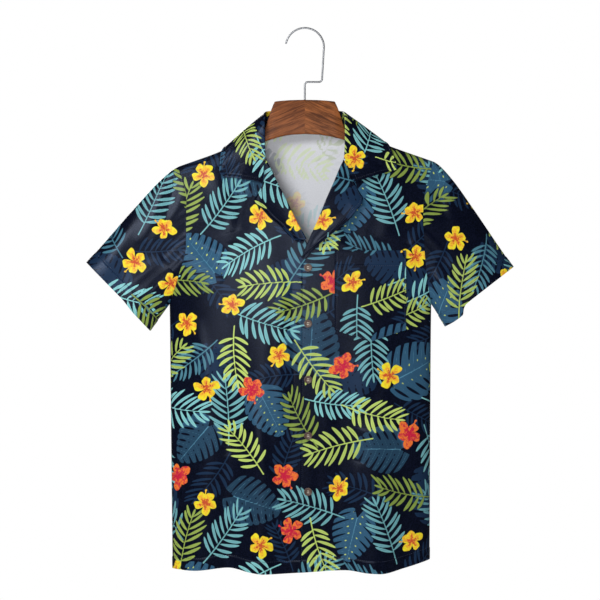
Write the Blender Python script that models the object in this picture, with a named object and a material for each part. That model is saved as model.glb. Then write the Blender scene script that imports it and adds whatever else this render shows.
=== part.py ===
"""Camp-collar hawaiian shirt hanging on a wooden hanger with a steel hook.

Frame: +Z is up, the shirt's front faces -Y and +X is the wearer's left.
The origin is the highest point inside the hook, where a rail carries it.
Tables and sizes are in millimetres; meshes are written in metres.
"""
import math

import bmesh
import bpy
import numpy as np
from mathutils import Matrix

MM = 0.001

# Cloth
WALL = 1.3              # thickness of the cloth wall
SEAM = 0.4              # gap between pieces that are sewn together
LAY = 0.5               # gap between a piece and the panel it lies on
HEM_EXTRA = 0.7         # extra thickness where the hem is turned up
HEM_ROWS = 2            # rows of a panel, or rings of a sleeve, in its hem
ARM_ROUND = 8.0         # radius of the cloth where it bends over the hanger
SETTLE = {"front": 80.0, "back": 50.0}   # drop over which the cloth swings out
SIDE_POWER = 3.0        # how blunt the side of the body is, 2 for an ellipse

# Front opening
INSET = 2.8             # front's edge behind the fold of its lapel
UNDERLAP = 2.1          # how far the right front dips below the left one,
                        # and by HEM_EXTRA more behind the left one's hem
BUTTON_X = 5.2
BUTTON_TOP = -386.9
BUTTON_SPACING = 90.4
BUTTON_COUNT = 5
BUTTON_RADIUS = 6.5
BUTTON_THICK = 2.6
BUTTON_DISH = 0.6       # how far the middle of a button lies below its rim
BUTTON_STAND = 0.35     # gap between a button and the panel under it
BUTTON_STEPS = 18
THREAD_HOLE = 0.7       # radius of a thread hole
THREAD_SPREAD = 1.3     # from the button's middle to a hole, across and up

# Pocket
POCKET_LEFT = 48.0
POCKET_RIGHT = 163.3
POCKET_TOP = -359.0
POCKET_SIDE = -487.5
POCKET_POINT = -506.5

# Hanger and hook
WIRE = 3.0
HOOK_RADIUS = 31.0
HOOK_TIP_ANGLE = 168.0
HOOK_LOW = -86.0        # centre line of the level run below the bow
HOOK_LOW_X = 27.9
HOOK_BEND = 5.0
HOOK_SIDES = 10
STEM_END = -140.0
STEM_BORE_TOP = -110.0
STEM_BORE_SIDES = 16
WOOD_THICK = 12.0
WOOD_ROUND = 3.0
WOOD_SLIMS = (52.0, 66.0)           # from the neck of the hanger to its arms


SIDES = {"right": -1.0, "left": 1.0}


def table(names, *rows):
    """Columns of a small table by name, a row for each section or fold."""
    return dict(zip(names.split(), np.array(rows, dtype=float).T))


# Line of the shoulder seams from the wearer's right to the left. Between the
# neck points at x = -69 and 69 it is the line that the panels would rise to.
SHOULDER = table(
    "x z",
    (-262, -248),
    (-213, -226.5),
    (-132.5, -196.5),
    (-110, -184.0),
    (-90, -172.5),
    (-69, -159.0),
    (-45, -130.0),
    (0, -95.0),
    (45, -129.0),
    (69, -157.0),
    (90, -168.5),
    (110, -178.5),
    (131, -187.5),
    (210, -215.6),
    (252, -230.5),
)

# Outline of the body at each height; above the underarms it runs on into the
# sleeves, so that the panels are still deep at the armhole seams.
OUTLINE = table(
    "z right left",
    (-890, -214.0, 202.0),
    (-620, -217.0, 203.3),
    (-446, -219.0, 204.8),
    (-420, -225.0, 211.0),
    (-390, -240.0, 228.0),
    (-350, -262.0, 252.0),
    (-150, -262.0, 252.0),
)

# Depth of the front and the back away from the plane of the side seams
DEPTH = table(
    "z front back",
    (-890, 42, 38),
    (-650, 36, 33),
    (-450, 36, 32),
    (-300, 34, 32),
    (-150, 30, 30),
)

HEM = table(
    "x z",
    (-216, -873),
    (-179, -876),
    (-123, -871),
    (-86, -879),
    (-67, -881.5),
    (-10, -879),
    (66, -875),
    (103, -880),
    (122, -881),
    (160, -872),
    (204, -858),
)

# Large folds: a soft ridge, or a trough where the height is below nought,
# which begins at z_top and is full at the hem
FOLDS = {
    "front": table(
        "x_top x_hem width height z_top",
        (-150, -178, 26, 7, -420),
        (-112, -126, 20, -7, -400),
        (-62, -74, 24, 9, -330),
        (58, 52, 26, -6, -420),
        (104, 116, 28, 9, -380),
        (152, 164, 20, -6, -440),
    ),
    "back": table(
        "x_top x_hem width height z_top",
        (-120, -140, 26, 8, -300),
        (-60, -78, 24, -6, -280),
        (-8, -14, 30, 9, -260),
        (58, 52, 24, -7, -300),
        (112, 128, 28, 8, -340),
    ),
}

# Armhole seams, from the underarm up to the tip of the shoulder
ARMHOLE = {
    "right": table(
        "z front back",
        (-446, -219.0, -219.0),
        (-400, -204.0, -208.0),
        (-353, -192.0, -198.0),
        (-280, -191.5, -197.0),
        (-250, -196.5, -200.0),
        (-224, -206.0, -206.0),
    ),
    "left": table(
        "z front back",
        (-446, 204.8, 204.8),
        (-403, 197.5, 200.0),
        (-353, 193.0, 197.0),
        (-290, 191.3, 196.0),
        (-248, 199.0, 201.0),
        (-215, 208.0, 208.0),
    ),
}

# Fold line of the lapels and, below them, the edge of each front
ROLL = {
    "right": table(
        "z x",
        (-890, 22.0),
        (-374, 22.0),
        (-358, 12.5),
        (-344.4, 5.2),
        (-314.8, -11.2),
        (-280.9, -27.8),
        (-242.2, -47.5),
        (-224, -55.9),
        (-211, -63.0),
        (-203, -64.2),
        (-180, -64.8),
        (-150, -66.8),
    ),
    "left": table(
        "z x",
        (-890, -10.5),
        (-384, -9.0),
        (-376, -7.2),
        (-344.4, 5.2),
        (-303.9, 23.3),
        (-276.0, 34.4),
        (-249.5, 46.2),
        (-222, 57.8),
        (-211, 63.0),
        (-203, 64.3),
        (-180, 65.2),
        (-150, 66.8),
    ),
}
V_START = -384.0        # lowest point of the opening's fold line

# Rows of the panels from the hem to the underarms. hem is the share of the
# hem's own line in a row.
BODY_ROWS = table(
    "outer inner hem",
    (-875, -880, 1.0),
    (-853, -858, 1.0),
    (-800, -805, 0.6),
    (-735, -740, 0.3),
    (-670, -675, 0.1),
    (-605, -610, 0.0),
    (-545, -545, 0.0),
    (-492, -478, 0.0),
)
UNDERARM = -446.0
INNER_START = -410.0
# Rows from the underarms to the shoulders, as shares of both edges' heights.
# follow is the share of the shoulder line's own shape in a row.
UPPER_ROWS = table(
    "outer inner follow",
    (0.0, 0.0, 0.0),
    (0.06, 0.10, 0.0),
    (0.12, 0.15, 0.0),
    (0.22, 0.27, 0.0),
    (0.35, 0.41, 0.0),
    (0.48, 0.54, 0.0),
    (0.61, 0.66, 0.05),
    (0.73, 0.775, 0.2),
    (0.83, 0.865, 0.45),
    (0.905, 0.935, 0.75),
    (0.955, 0.975, 0.93),
    (0.982, 0.992, 0.99),
    (0.995, 0.9985, 1.0),
    (1.0, 1.0, 1.0),
)
NECK_X = 69.0
SHOULDER_TIP_X = 207.0
BACK_NECK = table(
    "x z",
    (0, -168.0),
    (30, -167.4),
    (50, -165.6),
    (62, -162.5),
    (69, -158.0),
)
PANEL_COLUMNS = 14
BACK_COLUMNS = (8, 5)

# Sleeves: outer and lower corner of the cuff, and how the top line leaves the
# shoulder
SLEEVE = {
    "right": dict(outer=(-354.0, -378.0), lower=(-250.5, -489.0), half_depth=27.0),
    "left": dict(outer=(338.0, -385.5), lower=(227.5, -482.0), half_depth=27.0),
}
# How far the cuff's edge is drawn in, from its outer to its lower corner
CUFF_WAVE = {
    "right": table("share back", (0, 0.0), (0.35, 1.5), (0.55, 2.2), (0.75, 0.0), (1, 0.0)),
    "left": table(
        "share back",
        (0, 0.0), (0.4, 3.6), (0.67, 5.4), (0.72, 2.4), (0.78, -4.5), (0.87, -3.7), (1, 0.0)),
}
CUFF_BLUNT = 0.8                    # 1 for an ellipse, less for a blunter ring
SLEEVE_RINGS = (0.0, 0.04, 0.12, 0.23, 0.35, 0.47, 0.59, 0.7, 0.79, 0.9, 1.0)
SHOULDER_LEAVE = (0.93, -0.37)      # outward and up
UNDERARM_LEAVE = (0.59, -0.81)
SLEEVE_HANDLES = (0.14, 0.35)       # of its curve at the armhole and the cuff

# Lapels: height on the fold line, the point on the lapel's outer edge, and how
# far the row between them bows in at the foot of the gorge seam
LAPEL = {
    "left": table(
        "roll_z edge_x edge_z bow",
        (-371.5, 2.0, -373.0, 0),
        (-353.0, 12.5, -360.0, 0),
        (-337.5, 25.6, -347.5, 0),
        (-319.0, 43.7, -332.5, 0),
        (-299.0, 58.0, -321.0, 0),
        (-276.0, 72.0, -309.0, 0),
        (-254.0, 82.5, -295.5, 0),
        (-234.0, 91.5, -284.5, 0.6),
        (-214.0, 93.5, -275.5, 1.4),
    ),
    "right": table(
        "roll_z edge_x edge_z bow",
        (-340.0, -3.0, -348.5, 0),
        (-330.0, -13.0, -345.0, 0),
        (-314.8, -27.0, -334.0, 0),
        (-297.0, -40.0, -321.0, 0),
        (-280.9, -54.0, -309.5, 0),
        (-261.5, -66.5, -295.5, 0),
        (-243.0, -74.0, -287.0, 1.0),
        (-228.0, -79.5, -281.5, 3.4),
        (-214.0, -81.0, -278.5, 6.4),
    ),
}
# Section of the folded edge: distance from the fold line, height over the panel
CURL = table("across up", (0.9, -1.25), (0.0, -0.3), (0.35, 1.1), (1.6, 1.75))
LAPEL_SHARES = (0.2, 0.38, 0.55, 0.78, 1.0)
GORGE_SHARE = 0.55

# Collar from the gorge seam at the front to the middle of the back, for one
# side. out is the distance from the middle plane. face is -1 on the front, 1 on
# the back and 0 where the collar passes over the shoulder.
COLLAR = table(
    "seam_out seam_y seam_z roll_out roll_y roll_z face",
    (64.5, -20.0, -211.0, 63.6, -24.0, -211.0, -1),
    (65.1, -17.6, -200.0, 64.4, -22.0, -200.0, -1),
    (65.7, -14.3, -184.0, 64.8, -19.8, -183.0, -1),
    (66.3, -11.4, -172.0, 65.0, -18.0, -167.0, -1),
    (66.9, -8.0, -164.5, 65.2, -15.6, -154.0, -1),
    (67.1, -5.0, -160.3, 65.0, -11.0, -145.0, -1),
    (67.1, -2.0, -158.6, 64.5, -5.0, -138.5, -1),
    (66.9, 1.5, -157.6, 63.8, 2.0, -135.5, 0),
    (64.6, 7.4, -158.8, 61.5, 10.5, -133.5, 1),
    (56.6, 14.2, -163.2, 52.0, 19.0, -132.0, 1),
    (33.0, 21.0, -166.8, 30.0, 26.0, -131.0, 1),
    (0.0, 23.8, -167.5, 0.0, 28.5, -130.5, 1),
)
COLLAR_EDGE = {
    "right": table(
        "out z",
        (68.4, -250.5),
        (84.0, -246.0),
        (97.0, -244.5),
        (110.5, -242.0),
        (126.0, -240.5),
        (138.2, -232.0),
        (137.0, -213.0),
        (132.0, -192.0),
        (121.0, -203.0),
        (98.0, -200.0),
        (52.0, -190.0),
        (0.0, -186.0),
    ),
    "left": table(
        "out z",
        (79.8, -248.5),
        (91.0, -245.5),
        (104.0, -241.0),
        (119.0, -236.5),
        (134.0, -232.0),
        (148.9, -227.0),
        (142.5, -205.5),
        (133.0, -183.5),
        (121.0, -197.0),
        (98.0, -197.0),
        (52.0, -189.0),
        (0.0, -186.0),
    ),
}
# Stations of the collar along its table: first and last row, and step
COLLAR_STEPS = ((0.0, 5.0, 0.5), (5.0, 9.0, 0.25), (9.0, 11.01, 0.5))
COLLAR_SHARES = (0.08, 0.25, 0.5, 0.75, 1.0)
COLLAR_BULGE = 0.8      # how far the fall stands off over the shoulder
RIDGE_LIFT = 1.2        # more room where its sections turn over the shoulder
COLLAR_WRAP = (5.0, 9.0)            # stations that lie round the shoulder
ROLL_RADIUS = 1.9       # outer radius of the collar's folded edge
ROLL_TURNS = (-1.0, -0.4, 0.4, 1.0)
ROLL_OUTWARD = 2.2      # how much the folded edge faces backwards behind the neck

# Wood: top and bottom line of a hanger half, out from the middle
WOOD = {
    "right": table(
        "out top bottom",
        (0.0, -115.0, -170.3),
        (20.0, -115.4, -171.4),
        (38.0, -116.6, -174.4),
        (46.0, -117.7, -176.6),
        (49.0, -119.5, -177.5),
        (51.0, -122.5, -178.1),
        (54.0, -130.0, -179.0),
        (58.0, -141.5, -180.4),
        (61.5, -152.0, -181.6),
        (64.5, -161.0, -182.7),
    ),
    "left": table(
        "out top bottom",
        (0.0, -115.0, -170.3),
        (20.0, -115.4, -171.2),
        (38.0, -116.6, -173.6),
        (46.0, -117.7, -175.2),
        (49.0, -119.5, -176.0),
        (51.0, -122.5, -176.5),
        (54.0, -130.0, -177.3),
        (58.0, -141.0, -178.4),
        (61.5, -151.0, -179.4),
        (64.5, -159.5, -180.2),
    ),
}
ARM_OUT = (70.0, 78.0, 92.0, 110.0, 132.0, 158.0, 182.0, 195.0, 200.0, 203.0, 204.5)
ARM_GAP = 0.6           # between the arm and the cloth that rests on it
ARM_HEIGHT = (25.0, 15.0)           # at the neck and at the end
ARM_THICK = 11.0
ARM_EDGE = 5.0          # rounding along the arm
ARM_TIP = 8.0           # length over which the arm's end is rounded
ARM_TIP_SLIM = 0.4      # thickness left at its very end


def smooth(keys, values, at):
    """Cubic through values at rising keys, with no overshoot between them."""
    at = np.clip(at, keys[0], keys[-1])
    step = np.diff(keys)
    slope = np.diff(values) / step
    product = slope[:-1] * slope[1:]
    total = slope[:-1] + slope[1:]
    total = np.where(np.abs(total) < 1e-9, 1.0, total)
    tangent = np.empty(len(values))
    tangent[0] = slope[0]
    tangent[-1] = slope[-1]
    tangent[1:-1] = np.where(product > 0, 2 * product / total, 0.0)
    i = np.clip(np.searchsorted(keys, at) - 1, 0, len(step) - 1)
    t = (at - keys[i]) / step[i]
    start = (1 + 2 * t) * (1 - t) ** 2 * values[i] + t * (1 - t) ** 2 * step[i] * tangent[i]
    end = t * t * (3 - 2 * t) * values[i + 1] - t * t * (1 - t) * step[i] * tangent[i + 1]
    return start + end


def step_up(low, high, at):
    """Soft step from 0 at low to 1 at high."""
    t = np.clip((at - low) / (high - low), 0, 1)
    return t * t * (3 - 2 * t)


def shoulder_line(x):
    return smooth(SHOULDER["x"], SHOULDER["z"], x)


def folds(x, z, face):
    """Sum of the soft ridges and troughs that run down to the hem."""
    rows = FOLDS[face]
    total = np.zeros(np.broadcast(x, z).shape)
    for top, hem, width, height, z_top in zip(*rows.values()):
        way = np.clip((z_top - z) / (z_top + 880.0), 0, 1)
        centre = top + (hem - top) * way
        total = total + height * way ** 1.4 * np.exp(-(((x - centre) / width) ** 2))
    return total


def side_share(x, z):
    """1 at the middle of the body, falling to 0 round at its side seams."""
    right = smooth(OUTLINE["z"], OUTLINE["right"], z)
    left = smooth(OUTLINE["z"], OUTLINE["left"], z)
    edge = np.clip(np.abs(x - (left + right) / 2) / ((left - right) / 2), 0, 1)
    return (1 - edge ** SIDE_POWER) ** (1 / SIDE_POWER)


def swing(x, z, face):
    """How far the cloth swings out below the bend over the hanger."""
    below = np.maximum(shoulder_line(x) - z, 0)
    full = smooth(DEPTH["z"], DEPTH[face], z) - ARM_ROUND
    away = full * (1 - np.exp(-below / SETTLE[face]))
    return side_share(x, z) * (away + folds(x, z, face))


def depth(x, z, face):
    """Distance of a panel's outer surface from the plane of the side seams."""
    bend = np.clip((shoulder_line(x) - z) / ARM_ROUND, 0, 1)
    over_arm = ARM_ROUND * np.sqrt(1 - (1 - bend) ** 2)
    return SEAM / 2 + side_share(x, z) * over_arm + swing(x, z, face)


def front_depth(x, z, side):
    """Depth of one front; the right one dips under the left one's edge."""
    value = depth(x, z, "front")
    if side == "right":
        dip = UNDERLAP + HEM_EXTRA * step_up(-835, -850, z)
        value = value - dip * step_up(-70, -18, x) * step_up(-296, -340, z)
    return value


def over(x, z, face, lift, side="left"):
    """Depth of a point that lies lift off a panel, measured square to it."""
    reach = 1.0

    def level(at_x, at_z):
        if face == "front":
            return front_depth(at_x, at_z, side)
        return depth(at_x, at_z, "back")

    slope_x = (level(x + reach, z) - level(x - reach, z)) / (2 * reach)
    slope_z = (level(x, z + reach) - level(x, z - reach)) / (2 * reach)
    slope = np.minimum(np.sqrt(1 + slope_x ** 2 + slope_z ** 2), 2.5)
    return level(x, z) + lift * slope


def spacing(share):
    """Shares of a row that are closer together at its outer edge."""
    return share ** (2 - share)


def front_grid(side):
    """Outer points of one front, rows from hem to shoulder, out to in."""
    tip_x = ARMHOLE[side]["front"][-1]
    neck_x = SIDES[side] * NECK_X
    tip_z = float(shoulder_line(tip_x))
    neck_z = float(shoulder_line(neck_x))
    outer_z = np.append(
        BODY_ROWS["outer"],
        UNDERARM + (tip_z - UNDERARM) * UPPER_ROWS["outer"])
    inner_z = np.append(
        BODY_ROWS["inner"],
        INNER_START + (neck_z - INNER_START) * UPPER_ROWS["inner"])
    hem = np.append(BODY_ROWS["hem"], np.zeros(len(UPPER_ROWS["outer"])))
    follow = np.append(np.zeros(len(BODY_ROWS["outer"])), UPPER_ROWS["follow"])
    below = smooth(OUTLINE["z"], OUTLINE[side], outer_z)
    hole = ARMHOLE[side]
    stretch = (outer_z - UNDERARM) / (tip_z - UNDERARM)
    seam_z = UNDERARM + stretch * (hole["z"][-1] - UNDERARM)
    above = smooth(hole["z"], hole["front"], seam_z)
    outer_x = np.where(outer_z > UNDERARM, above, below)
    inner_x = smooth(ROLL[side]["z"], ROLL[side]["x"], inner_z)
    inset = INSET * step_up(V_START, V_START + 12, inner_z)
    inner_x = inner_x + SIDES[side] * inset
    inner_x[-1] = neck_x
    share = spacing(np.linspace(0, 1, PANEL_COLUMNS + 1))
    x = outer_x[:, None] + (inner_x - outer_x)[:, None] * share
    z = outer_z[:, None] + (inner_z - outer_z)[:, None] * share
    line = shoulder_line(x)
    straight = line[:, :1] + (line[:, -1:] - line[:, :1]) * share
    z = z + follow[:, None] * (line - straight)
    hem_line = smooth(HEM["x"], HEM["z"], x[:1])
    z = z + hem[:, None] * (hem_line - z[:1])
    return np.stack([x, -front_depth(x, z, side), z], axis=-1)


def back_top(x):
    """Top line of the back: the shoulders and the neckline between them."""
    neck = smooth(BACK_NECK["x"], BACK_NECK["z"], np.abs(x))
    return np.where(np.abs(x) < NECK_X, neck, shoulder_line(x))


def back_grid():
    """Outer points of the back, rows from hem to shoulder, right to left."""
    outer, inner = BACK_COLUMNS
    neck_share = 1 - NECK_X / SHOULDER_TIP_X
    half = np.append(
        neck_share * spacing(np.linspace(0, 1, outer + 1)),
        neck_share + (1 - neck_share) * np.linspace(0, 1, inner + 1)[1:] ** 1.6)
    middle_z = np.append(
        BODY_ROWS["inner"],
        INNER_START + (back_top(0.0) - INNER_START) * UPPER_ROWS["inner"])
    hem = np.append(BODY_ROWS["hem"], np.zeros(len(UPPER_ROWS["outer"])))
    follow = np.append(np.zeros(len(BODY_ROWS["outer"])), UPPER_ROWS["follow"])
    halves = []
    for side in SIDES:
        hole = ARMHOLE[side]
        tip_z = float(shoulder_line(hole["back"][-1]))
        outer_z = np.append(
            BODY_ROWS["outer"],
            UNDERARM + (tip_z - UNDERARM) * UPPER_ROWS["outer"])
        below = smooth(OUTLINE["z"], OUTLINE[side], outer_z)
        stretch = (outer_z - UNDERARM) / (tip_z - UNDERARM)
        seam_z = UNDERARM + stretch * (hole["z"][-1] - UNDERARM)
        above = smooth(hole["z"], hole["back"], seam_z)
        outer_x = np.where(outer_z > UNDERARM, above, below)
        x = outer_x[:, None] * (1 - half)
        z = outer_z[:, None] + (middle_z - outer_z)[:, None] * half
        line = back_top(x)
        straight = line[:, :1] + (line[:, -1:] - line[:, :1]) * half
        z = z + follow[:, None] * (line - straight)
        hem_line = smooth(HEM["x"], HEM["z"], x[:1])
        z = z + hem[:, None] * (hem_line - z[:1])
        halves.append(np.stack([x, depth(x, z, "back"), z], axis=-1))
    right, left = halves
    return np.concatenate([right, left[:, -2::-1]], axis=1)


def sleeve_grid(side, front, back):
    """Rings of one sleeve from its armhole to its cuff.

    A ring starts at the tip of the shoulder, runs down the front to the
    underarm and up the back again.
    """
    first = len(BODY_ROWS["outer"])
    down = front[first:][::-1]
    up = back[first:]
    loop = np.concatenate([down, up[1:-1]])
    tip = (front[-1] + back[-1]) / 2
    pit = (front[first] + back[first]) / 2
    loop[0] = tip
    loop[len(down) - 1] = pit
    length = np.linalg.norm(np.diff(np.concatenate([loop, loop[:1]]), axis=0), axis=1)
    walked = np.append(0, np.cumsum(length))
    half = walked[len(down) - 1]
    share = walked[:-1]
    angle = np.where(
        share <= half,
        math.pi * share / half,
        math.pi + math.pi * (share - half) / (walked[-1] - half))
    size = SLEEVE[side]
    outer = np.array([size["outer"][0], 0, size["outer"][1]])
    lower = np.array([size["lower"][0], 0, size["lower"][1]])
    middle = (outer + lower) / 2
    along = (outer - lower) / 2
    c = np.cos(angle)
    s = np.sin(angle)
    wide = np.sign(c) * np.abs(c) ** CUFF_BLUNT
    deep = np.sign(s) * np.abs(s) ** CUFF_BLUNT
    cuff = middle + along * wide[:, None]
    inward = unit(loop.mean(axis=0) - middle)
    wave = CUFF_WAVE[side]
    cuff = cuff + inward * smooth(wave["share"], wave["back"], (1 - wide) / 2)[:, None]
    cuff[:, 1] = -size["half_depth"] * deep
    top = (1 + c) / 2
    leave = np.stack([
        SIDES[side] * (UNDERARM_LEAVE[0] + (SHOULDER_LEAVE[0] - UNDERARM_LEAVE[0]) * top),
        np.zeros(len(top)),
        UNDERARM_LEAVE[1] + (SHOULDER_LEAVE[1] - UNDERARM_LEAVE[1]) * top], axis=-1)
    start = loop + leave * 2 * SEAM
    chord = cuff - start
    reach = np.linalg.norm(chord, axis=1)[:, None]
    arrive = chord / reach
    handle_1 = start + leave * reach * SLEEVE_HANDLES[0]
    handle_2 = cuff - arrive * reach * SLEEVE_HANDLES[1]
    t = np.array(SLEEVE_RINGS)[:, None, None]
    return ((1 - t) ** 3 * start + 3 * t * (1 - t) ** 2 * handle_1
            + 3 * t * t * (1 - t) * handle_2 + t ** 3 * cuff)


def lapel_grid(side):
    """Outer points of one lapel, from its folded edge to its outer edge."""
    rows = LAPEL[side]
    roll_z = rows["roll_z"]
    roll_x = smooth(ROLL[side]["z"], ROLL[side]["x"], roll_z)
    slope = np.gradient(roll_x, roll_z)
    square_x = SIDES[side] / np.hypot(1, slope)
    square_z = -SIDES[side] * slope / np.hypot(1, slope)
    curl_x = roll_x[:, None] + square_x[:, None] * CURL["across"]
    curl_z = roll_z[:, None] + square_z[:, None] * CURL["across"]
    share = np.array(LAPEL_SHARES)
    reach_x = (rows["edge_x"] - curl_x[:, -1])[:, None]
    reach_z = (rows["edge_z"] - curl_z[:, -1])[:, None]
    bow = SIDES[side] * rows["bow"][:, None] * np.interp(share, (0, GORGE_SHARE, 1), (0, 1, 0))
    bow = bow / np.hypot(reach_x, reach_z)
    flat_x = curl_x[:, -1:] + reach_x * share + reach_z * bow
    flat_z = curl_z[:, -1:] + reach_z * share - reach_x * bow
    x = np.concatenate([curl_x, flat_x], axis=1)
    z = np.concatenate([curl_z, flat_z], axis=1)
    up = np.append(CURL["up"], np.full(len(share), LAY + WALL))
    return np.stack([x, -over(x, z, "front", up, side), z], axis=-1)


def unit(vectors):
    return vectors / np.linalg.norm(vectors, axis=-1)[..., None]


def clear_of_panels(points, lift):
    """Moves points out until they lie at least lift off the panels."""
    x, y, z = np.moveaxis(points, -1, 0)
    axis_z = shoulder_line(x) - ARM_ROUND
    needed = ARM_ROUND + lift + np.where(y < 0, swing(x, z, "front"), swing(x, z, "back"))
    above = z > axis_z
    radius = np.maximum(np.hypot(y, z - axis_z), 0.001)
    grow = np.where(above & (radius < needed), needed / radius, 1.0)
    high_y = y * grow
    high_z = axis_z + (z - axis_z) * grow
    low_y = np.where(
        y < 0,
        np.minimum(y, -over(x, z, "front", lift)),
        np.maximum(y, over(x, z, "back", lift)))
    return np.stack([x, np.where(above, high_y, low_y), np.where(above, high_z, z)], -1)


def wrap_over_shoulder(x, reach, lift):
    """Depth and height of points that lie reach beyond the shoulder line.

    reach is measured over the bend of the shoulder, below nought on the front.
    """
    radius = ARM_ROUND + lift
    bend = radius * math.pi / 2
    turn = np.clip(reach / radius, -math.pi / 2, math.pi / 2)
    z = shoulder_line(x) - ARM_ROUND + radius * np.cos(turn) - np.maximum(np.abs(reach) - bend, 0)
    below = np.where(reach < 0, -over(x, z, "front", lift), over(x, z, "back", lift))
    away = np.where(reach < 0, -swing(x, z, "front"), swing(x, z, "back"))
    return np.where(np.abs(reach) < bend, radius * np.sin(turn) + away, below), z


def collar_half(side):
    """Outer points of half a collar, from its gorge seam to the back's middle.

    Each section runs up the stand, round the folded edge and down the fall.
    """
    out = SIDES[side]
    key = np.arange(len(COLLAR["face"]), dtype=float)
    station = np.concatenate([np.arange(*steps) for steps in COLLAR_STEPS])
    line = {name: smooth(key, column, station) for name, column in COLLAR.items()}
    edge_x = out * smooth(key, COLLAR_EDGE[side]["out"], station)
    edge_z = smooth(key, COLLAR_EDGE[side]["z"], station)
    face = line["face"]
    first, last = COLLAR_WRAP
    near_ridge = step_up(first - 0.5, first + 0.5, station) * step_up(last + 0.5, last - 0.5, station)
    lift = LAY + WALL + RIDGE_LIFT * near_ridge
    seam = np.stack([out * line["seam_out"], line["seam_y"], line["seam_z"]], -1)
    roll = np.stack([out * line["roll_out"], line["roll_y"], line["roll_z"]], -1)
    key_axis = shoulder_line(out * COLLAR_EDGE[side]["out"]) - ARM_ROUND
    bend = (ARM_ROUND + LAY + WALL) * math.pi / 2
    key_reach = COLLAR["face"] * (bend + key_axis - COLLAR_EDGE[side]["z"])
    reach = smooth(key, key_reach, station)
    wrap_y, wrap_z = wrap_over_shoulder(edge_x, reach, lift)
    flat_y = np.sign(face) * over(edge_x, edge_z, "front", lift)
    flat_y = np.where(face < 0, flat_y, over(edge_x, edge_z, "back", lift))
    near = (station > COLLAR_WRAP[0]) & (station < COLLAR_WRAP[1])
    edge = np.stack([edge_x, np.where(near, wrap_y, flat_y), np.where(near, wrap_z, edge_z)], -1)
    along = unit(np.gradient(roll, axis=0))

    def square(vectors):
        """Part of the vectors across the folded edge, at unit length."""
        across = vectors - along * (vectors * along).sum(-1)[:, None]
        return unit(across)

    stand = square(seam - roll)
    fall = square(edge - roll)
    apex = -unit(stand + fall)
    behind = np.maximum(roll[:, 1], 0) * ROLL_OUTWARD
    outward = np.stack([roll[:, 0], behind, np.zeros(len(roll))], -1)
    across = square(outward)
    across = unit(across - apex * (across * apex).sum(-1)[:, None])
    half_turn = math.pi / 2 - np.arccos(np.clip(-(stand * apex).sum(-1), -1, 1))
    centre = roll - apex * ROLL_RADIUS
    rows = [seam]
    for share in ROLL_TURNS:
        turn = (half_turn * share)[:, None]
        rows.append(centre + ROLL_RADIUS * (apex * np.cos(turn) + across * np.sin(turn)))
    start = rows[-1]
    for share in COLLAR_SHARES:
        bulge = COLLAR_BULGE * math.sin(math.pi * share) * (1 - np.abs(face))
        point = start + (edge - start) * share
        point[:, 2] += bulge
        rows.append(clear_of_panels(point, lift))
    return np.stack(rows, axis=1)


def pocket_grid(columns=8, rows=9):
    """Outer points of the patch pocket, from its pointed foot to its top."""
    share = np.linspace(0, 1, columns + 1)
    x = POCKET_LEFT + (POCKET_RIGHT - POCKET_LEFT) * share
    foot = POCKET_SIDE + (POCKET_POINT - POCKET_SIDE) * (1 - np.abs(2 * share - 1))
    up = np.linspace(0, 1, rows + 1)[:, None]
    z = foot + (POCKET_TOP - foot) * up
    x = np.broadcast_to(x, z.shape)
    return np.stack([x, -over(x, z, "front", LAY + WALL), z], axis=-1)


def normals(grid, closed):
    """Unit normals of a grid of points; closed joins its last column to the first."""
    down = np.gradient(grid, axis=0)
    if closed:
        wrapped = np.concatenate([grid[:, -1:], grid, grid[:, :1]], axis=1)
        across = (wrapped[:, 2:] - wrapped[:, :-2]) / 2
    else:
        across = np.gradient(grid, axis=1)
    return unit(np.cross(across, down))


def add_wall(name, grid, finish, outward, thick=WALL, closed=False, panel=False):
    """One closed cloth wall whose outer side is the grid.

    outward is a direction that the outer side faces at the grid's middle;
    thick is one thickness or one for each point. A panel's wall stays on its
    own side of the seams.
    """
    normal = normals(grid, closed)
    count_rows, count_columns = grid.shape[:2]
    centre = (count_rows // 2, count_columns // 2)
    flip = np.dot(normal[centre], outward) < 0
    if flip:
        normal = -normal
    thick = np.broadcast_to(thick, grid.shape[:2])[..., None]
    inner = grid - normal * thick
    if panel:
        inner[..., 1] = outward[1] * np.maximum(outward[1] * inner[..., 1], SEAM / 2)
    points = np.concatenate([grid.reshape(-1, 3), inner.reshape(-1, 3)]) * MM
    size = count_rows * count_columns
    faces = []

    def quad(a, b, c, d):
        faces.append((a, b, c))
        faces.append((a, c, d))

    last = count_columns if closed else count_columns - 1
    for row in range(count_rows - 1):
        for column in range(last):
            a = row * count_columns + column
            b = row * count_columns + (column + 1) % count_columns
            c = b + count_columns
            d = a + count_columns
            quad(a, b, c, d)
            quad(a + size, d + size, c + size, b + size)
    for row, turn in ((0, False), (count_rows - 1, True)):
        for column in range(last):
            a = row * count_columns + column
            b = row * count_columns + (column + 1) % count_columns
            if turn:
                a, b = b, a
            quad(b, a, a + size, b + size)
    if not closed:
        for column, turn in ((0, True), (count_columns - 1, False)):
            for row in range(count_rows - 1):
                a = row * count_columns + column
                b = a + count_columns
                if turn:
                    a, b = b, a
                quad(b, a, a + size, b + size)
    if flip:
        faces = [(a, c, b) for a, b, c in faces]
    mesh = bpy.data.meshes.new(name)
    mesh.from_pydata([tuple(p) for p in points], [], faces)
    return add_object(name, mesh, finish)


def mesh_from(bm, name):
    """Mesh of a finished bmesh, with its faces turned outwards."""
    bmesh.ops.recalc_face_normals(bm, faces=bm.faces)
    mesh = bpy.data.meshes.new(name)
    bm.to_mesh(mesh)
    bm.free()
    return mesh


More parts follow.
